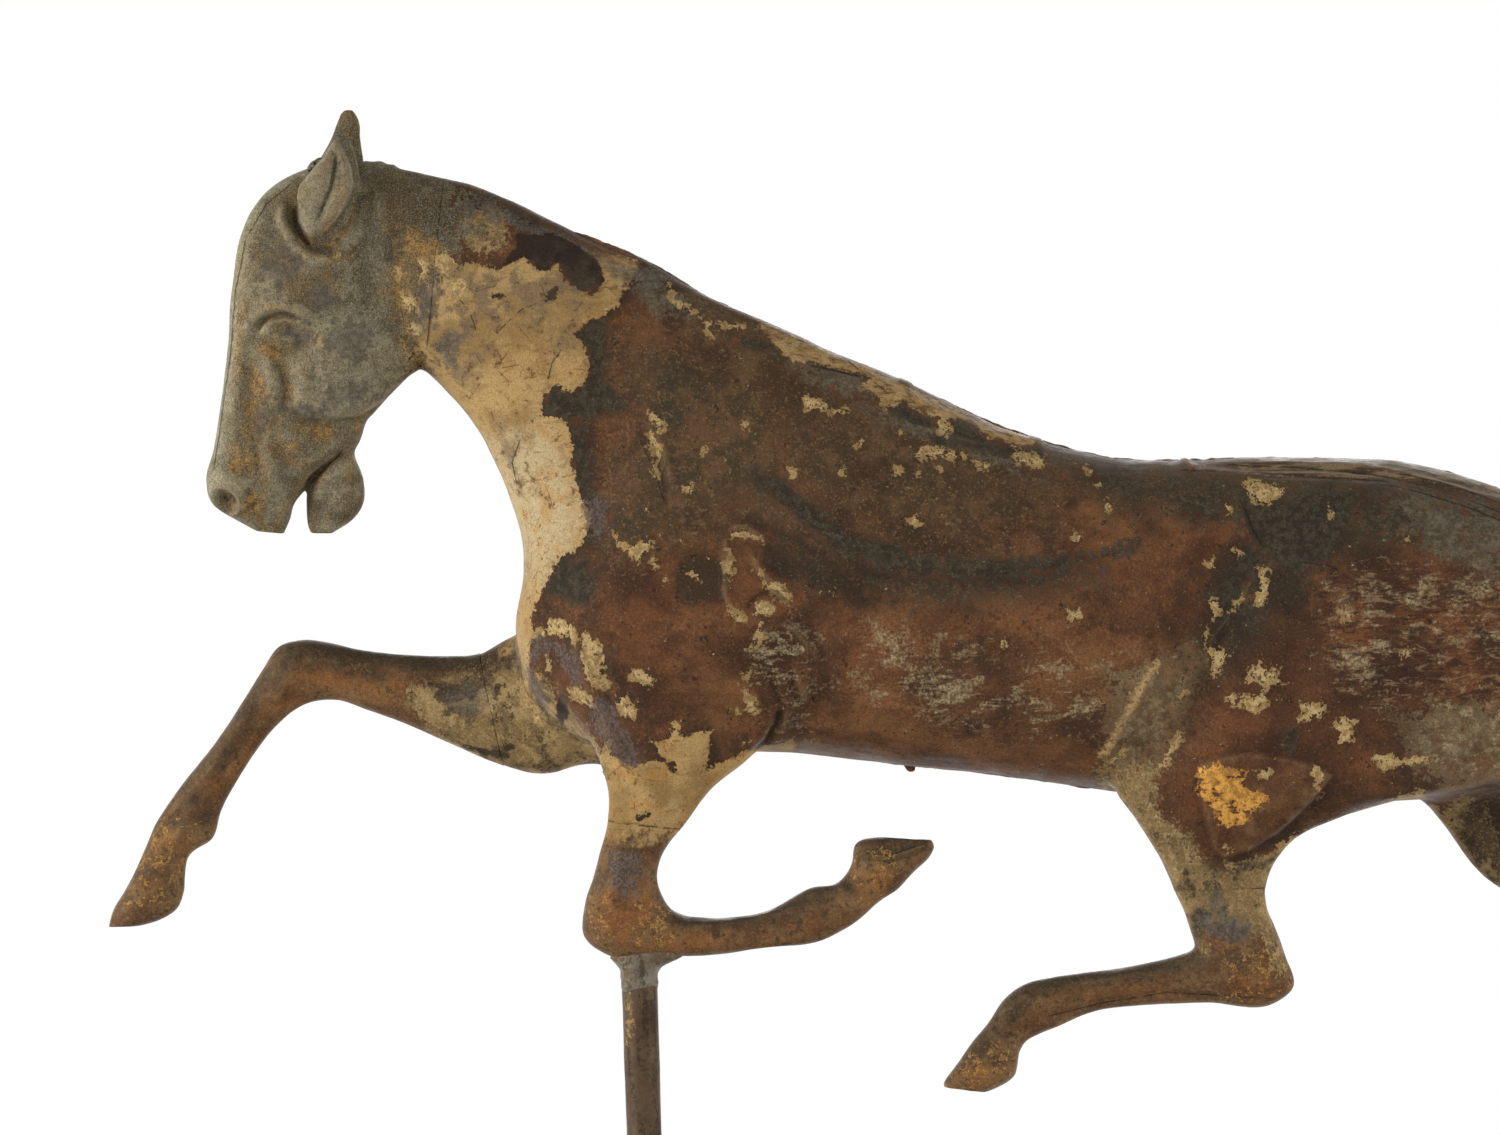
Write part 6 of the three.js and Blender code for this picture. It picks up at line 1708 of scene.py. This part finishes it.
def make_tube():
    low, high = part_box("vane_tube")
    inner = TUBE_RADIUS - TUBE_WALL
    outline = [
        (inner, low.z), (TUBE_RADIUS, low.z), (TUBE_RADIUS, high.z), (inner, high.z), (inner, low.z),
    ]
    mesh = roughened(turned("tube", outline, *TURNING["tube"], True), DENTS["tube"])
    paint(mesh)
    piece("mounting_tube", mesh, "aged_brass", "vane", "aged_brass", "vane_tube")


FLANGE_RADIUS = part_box("roof_flange")[1].x
FLANGE_THICKNESS = 0.006
BOSS_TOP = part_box("roof_flange")[1].z
BORE_FLOOR = BOSS_TOP - 0.004  # above it the spindle stands in the bore
BORE_RADIUS = 0.0050
# Radius and height of the corners, from the middle of the underside to the floor of the bore.
FLANGE_OUTLINE = (
    (0, 0), (FLANGE_RADIUS, 0), (FLANGE_RADIUS, FLANGE_THICKNESS), (0.0195, FLANGE_THICKNESS + 0.0006),
    (0.0150, FLANGE_THICKNESS + 0.004), (0.0130, BOSS_TOP), (BORE_RADIUS, BOSS_TOP),
    (BORE_RADIUS, BORE_FLOOR), (0, BORE_FLOOR),
)


def make_flange():
    mesh = roughened(turned("flange", FLANGE_OUTLINE, *TURNING["flange"]), DENTS["flange"])
    piece("flange_casting", mesh, "black_iron", "mast", "black_iron", "roof_flange")


# The wood screws of the flange. Heights are from the tip, or where it says so from the top.
TIP_RADIUS = 0.0009
TIP_LENGTH = 0.003
THREAD_COUNT = 12
THREAD_START = 0.006
THREAD_PITCH = 0.0015
THREAD_ROOT = 0.0017
THREAD_CREST = 0.0024
THREAD_RISE = 0.0007  # from its root to its crest
SHANK_RADIUS = 0.0022
SHANK_LENGTH = 0.004
SEAT_FROM_TOP = 0.0028
HEAD_RIM = 0.0012
HEAD_TOP_SHARE = 0.75
HEAD_DOME = 0.0003
SLOT_HALF_LENGTH = 0.006
SLOT_HALF_WIDTH = 0.00055
SLOT_DEPTH = 0.0012
SLOT_TOOL_TOP = 0.002  # over the screw
SLOT_TURN = 0.7  # from each screw to the next, in radians


def make_flange_screw(number):
    low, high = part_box(f"flange_screw_{number}")
    x, y = (low.x + high.x) / 2, (low.y + high.y) / 2
    head, seat = (high.x - low.x) / 2, high.z - SEAT_FROM_TOP
    outline = [(0, low.z), (TIP_RADIUS, low.z + TIP_LENGTH)]
    for i in range(THREAD_COUNT):
        z = low.z + THREAD_START + i * THREAD_PITCH
        outline += [(THREAD_ROOT, z), (THREAD_CREST, z + THREAD_RISE)]
    outline += [(SHANK_RADIUS, seat - SHANK_LENGTH), (SHANK_RADIUS, seat), (head, seat)]
    outline += [(head, seat + HEAD_RIM), (head * HEAD_TOP_SHARE, high.z - HEAD_DOME), (0, high.z)]
    mesh = turned(f"screw_{number}", outline, *TURNING["screw"], False, x, y, SCREW_SIDES)
    slot_tool = block(
        (-SLOT_HALF_LENGTH, -SLOT_HALF_WIDTH, high.z - SLOT_DEPTH),
        (SLOT_HALF_LENGTH, SLOT_HALF_WIDTH, high.z + SLOT_TOOL_TOP),
    )
    slot_tool.transform(Matrix.Translation((x, y, 0)) @ Matrix.Rotation(SLOT_TURN * number, 4, "Z"))
    mesh = roughened(without(mesh, slot_tool), DENTS["flange_screw"])
    piece(f"flange_wood_screw_{number}", mesh, "steel", "mast", "steel", f"flange_screw_{number}")


POINT_LENGTH = 0.007
POINT_RADIUS = 0.0012


def make_spindle():
    low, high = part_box("spindle")
    radius = high.x
    outline = [
        (0, low.z), (radius, low.z), (radius, high.z - POINT_LENGTH), (POINT_RADIUS, high.z), (0, high.z),
    ]
    mesh = roughened(turned("spindle", outline, *TURNING["spindle"]), DENTS["spindle"])
    piece("spindle_rod", mesh, "steel", "mast", "steel", "spindle")


# The set screw, from its tip: radius and height of its shank's corners, then its hexagonal head's
# heights and the share of its radius there.
SET_SCREW_SHANK = ((0.0004, 0), (0.0025, 0.0006), (0.0025, 0.0113))
SET_SCREW_EDGE_SHARE = 0.8
SET_SCREW_HEAD_LOW = ((SET_SCREW_EDGE_SHARE, 0.0113), (1, 0.0118))
SET_SCREW_CHAMFER = 0.0008
HEXAGON_SHARE = 1.03  # beyond 1 it leaves the corners blunt


def hexagon(radius, z):
    """A ring round a hexagon whose corners are cut to the radius."""
    ring = []
    for i in range(SCREW_SIDES):
        turn = 2 * math.pi * i / SCREW_SIDES
        flat = math.cos(math.pi / 6) / math.cos(turn % (math.pi / 3) - math.pi / 6)
        reach = radius * min(1.0, flat * HEXAGON_SHARE)
        ring.append((reach * math.cos(turn), reach * math.sin(turn), z))
    return ring


def make_set_screw():
    low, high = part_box("spindle_set_screw")
    length, height = high.x - low.x, (low.z + high.z) / 2
    corner, step = TURNING["set_screw"]
    shank = finer(softened(SET_SCREW_SHANK, corner), step)
    rings = [ellipse(0, 0, z, r, r, SCREW_SIDES) for r, z in shank]
    head = (*SET_SCREW_HEAD_LOW, (1, length - SET_SCREW_CHAMFER), (SET_SCREW_EDGE_SHARE, length))
    rings += [hexagon(high.y * share, z) for share, z in head]
    mesh = stacked("set_screw", rings)
    mesh.transform(Matrix.Translation((high.x, 0, height)) @ Matrix.Rotation(-math.pi / 2, 4, "Y"))
    roughened(mesh, DENTS["set_screw"])
    piece("set_screw", mesh, "steel", "mast", "steel", "spindle_set_screw")


make_body()
make_head()
for leg_name, (_, leg_joint, leg_side) in LEGS.items():
    make_lower_leg(leg_name)
    sleeve_name = leg_name + "_sleeve"
    make_sleeve(sleeve_name, leg_rows[leg_name], leg_joint * RING_STEPS, LEG_HALF_WIDTH, leg_side)
make_sleeve("neck_sleeve", trunk_rows, neck_row, BODY_HALF_WIDTH, MIDDLE_Y)
make_tail()
make_seams()
make_knee_solder()
make_tube()
make_flange()
for screw_number in range(1, 5):
    make_flange_screw(screw_number)
make_spindle()
make_set_screw()

# The CAD solids that no piece replaces get the same looks.
slots = {part["node"]: part["material_slot"] for part in frame["record"]["subparts"]}
for node, solid in frame["nodes"].items():
    if not solid.hide_render:
        solid.data.materials.clear()
        solid.data.materials.append(LOOKS[slots[node]])


# Stage, light and camera.

FLOOR_SIZE = (9.0, 7.0, 1)
FLOOR_PLACE = (0.2, -2.4, -0.0005)  # it ends 1.1 m behind the horse, below what the camera sees
FLOOR_GLOW = 0.27  # for looks only, so that the paper is nearly white and keeps the shadow
FLOOR_GREY = (236, 236, 236)
FLOOR_ROUGHNESS = 0.9
WORLD_STRENGTH = 0.4
WHITE = (255, 255, 255)
AIM_PX = (800, 600)
LIGHT_TURN = ("-Z", "Y")
# Each light's place, diameter and power.
LIGHTS = {
    "left": ((-2.6, -0.9, 0.75), 1.3, 78),
    "right": ((2.9, -1.0, 0.7), 1.3, 50),
    "front": ((0.2, -3.0, 1.3), 1.2, 9),
    "back": ((0.3, 2.4, 0.9), 1.4, 18),
}
SENSOR = 0.036
CAMERA_CLIP = 50


def looked_at(tree):
    """1 for rays that show the background: the camera's, and glossy and transmitted ones."""
    rays = tree.nodes.new("ShaderNodeLightPath")
    either = rays.outputs["Is Camera Ray"]
    for other in ("Is Glossy Ray", "Is Transmission Ray"):
        most = tree.nodes.new("ShaderNodeMath")
        most.operation = "MAXIMUM"
        tree.links.new(either, most.inputs[0])
        tree.links.new(rays.outputs[other], most.inputs[1])
        either = most.outputs[0]
    return either


def make_stage():
    bpy.ops.mesh.primitive_plane_add(size=1)
    floor = bpy.context.object
    floor.name = "floor"
    floor.scale = FLOOR_SIZE
    floor.location = FLOOR_PLACE
    p = Paint("floor_paper", {})
    sockets = {
        "Base Color": FLOOR_GREY, "Roughness": FLOOR_ROUGHNESS, "Emission Color": WHITE,
        "Emission Strength": p.times(looked_at(p.tree), FLOOR_GLOW),
    }
    for name, value in sockets.items():
        p.link(value, p.shader.inputs[name])
    floor.data.materials.append(p.material)


def make_light(name, place, size, power):
    data = bpy.data.lights.new(name, "AREA")
    data.shape = "DISK"
    data.size = size
    data.energy = power
    made = bpy.data.objects.new(name, data)
    made.location = place
    made.rotation_euler = (at_pixel(*AIM_PX) - Vector(place)).to_track_quat(*LIGHT_TURN).to_euler()
    bpy.context.scene.collection.objects.link(made)


def make_world():
    world = bpy.data.worlds.new("studio")
    bpy.context.scene.world = world
    world.use_nodes = True
    tree = world.node_tree
    back = tree.nodes["Background"]
    back.inputs["Color"].default_value = srgb(*WHITE)
    seen = tree.nodes.new("ShaderNodeMapRange")
    seen.inputs["To Min"].default_value = WORLD_STRENGTH
    seen.inputs["To Max"].default_value = 1
    tree.links.new(looked_at(tree), seen.inputs["Value"])
    tree.links.new(seen.outputs["Result"], back.inputs["Strength"])


def make_camera():
    data = bpy.data.cameras.new("camera")
    data.sensor_width = SENSOR * METRE_MM
    data.lens = SENSOR * METRE_MM * CAMERA_DISTANCE / (PHOTO_WIDTH_PX * PX)
    data.clip_end = CAMERA_CLIP
    camera = bpy.data.objects.new("camera", data)
    bpy.context.scene.collection.objects.link(camera)
    right = Vector((math.cos(LEAN), 0, -math.sin(LEAN)))
    up = Vector((math.sin(LEAN), 0, math.cos(LEAN)))
    towards = Vector((0, -1, 0))
    back = towards * math.cos(CAMERA_ELEVATION) + up * math.sin(CAMERA_ELEVATION)
    turn = Matrix((right, back.cross(right), back)).transposed().to_4x4()
    place = at_pixel(*CENTRE_PX) + back * CAMERA_DISTANCE
    camera.matrix_world = Matrix.Translation(place) @ turn
    bpy.context.scene.camera = camera


make_stage()
make_world()
for light_name, settings in LIGHTS.items():
    make_light(light_name, *settings)
make_camera()
bpy.context.scene.view_settings.view_transform = "Standard"
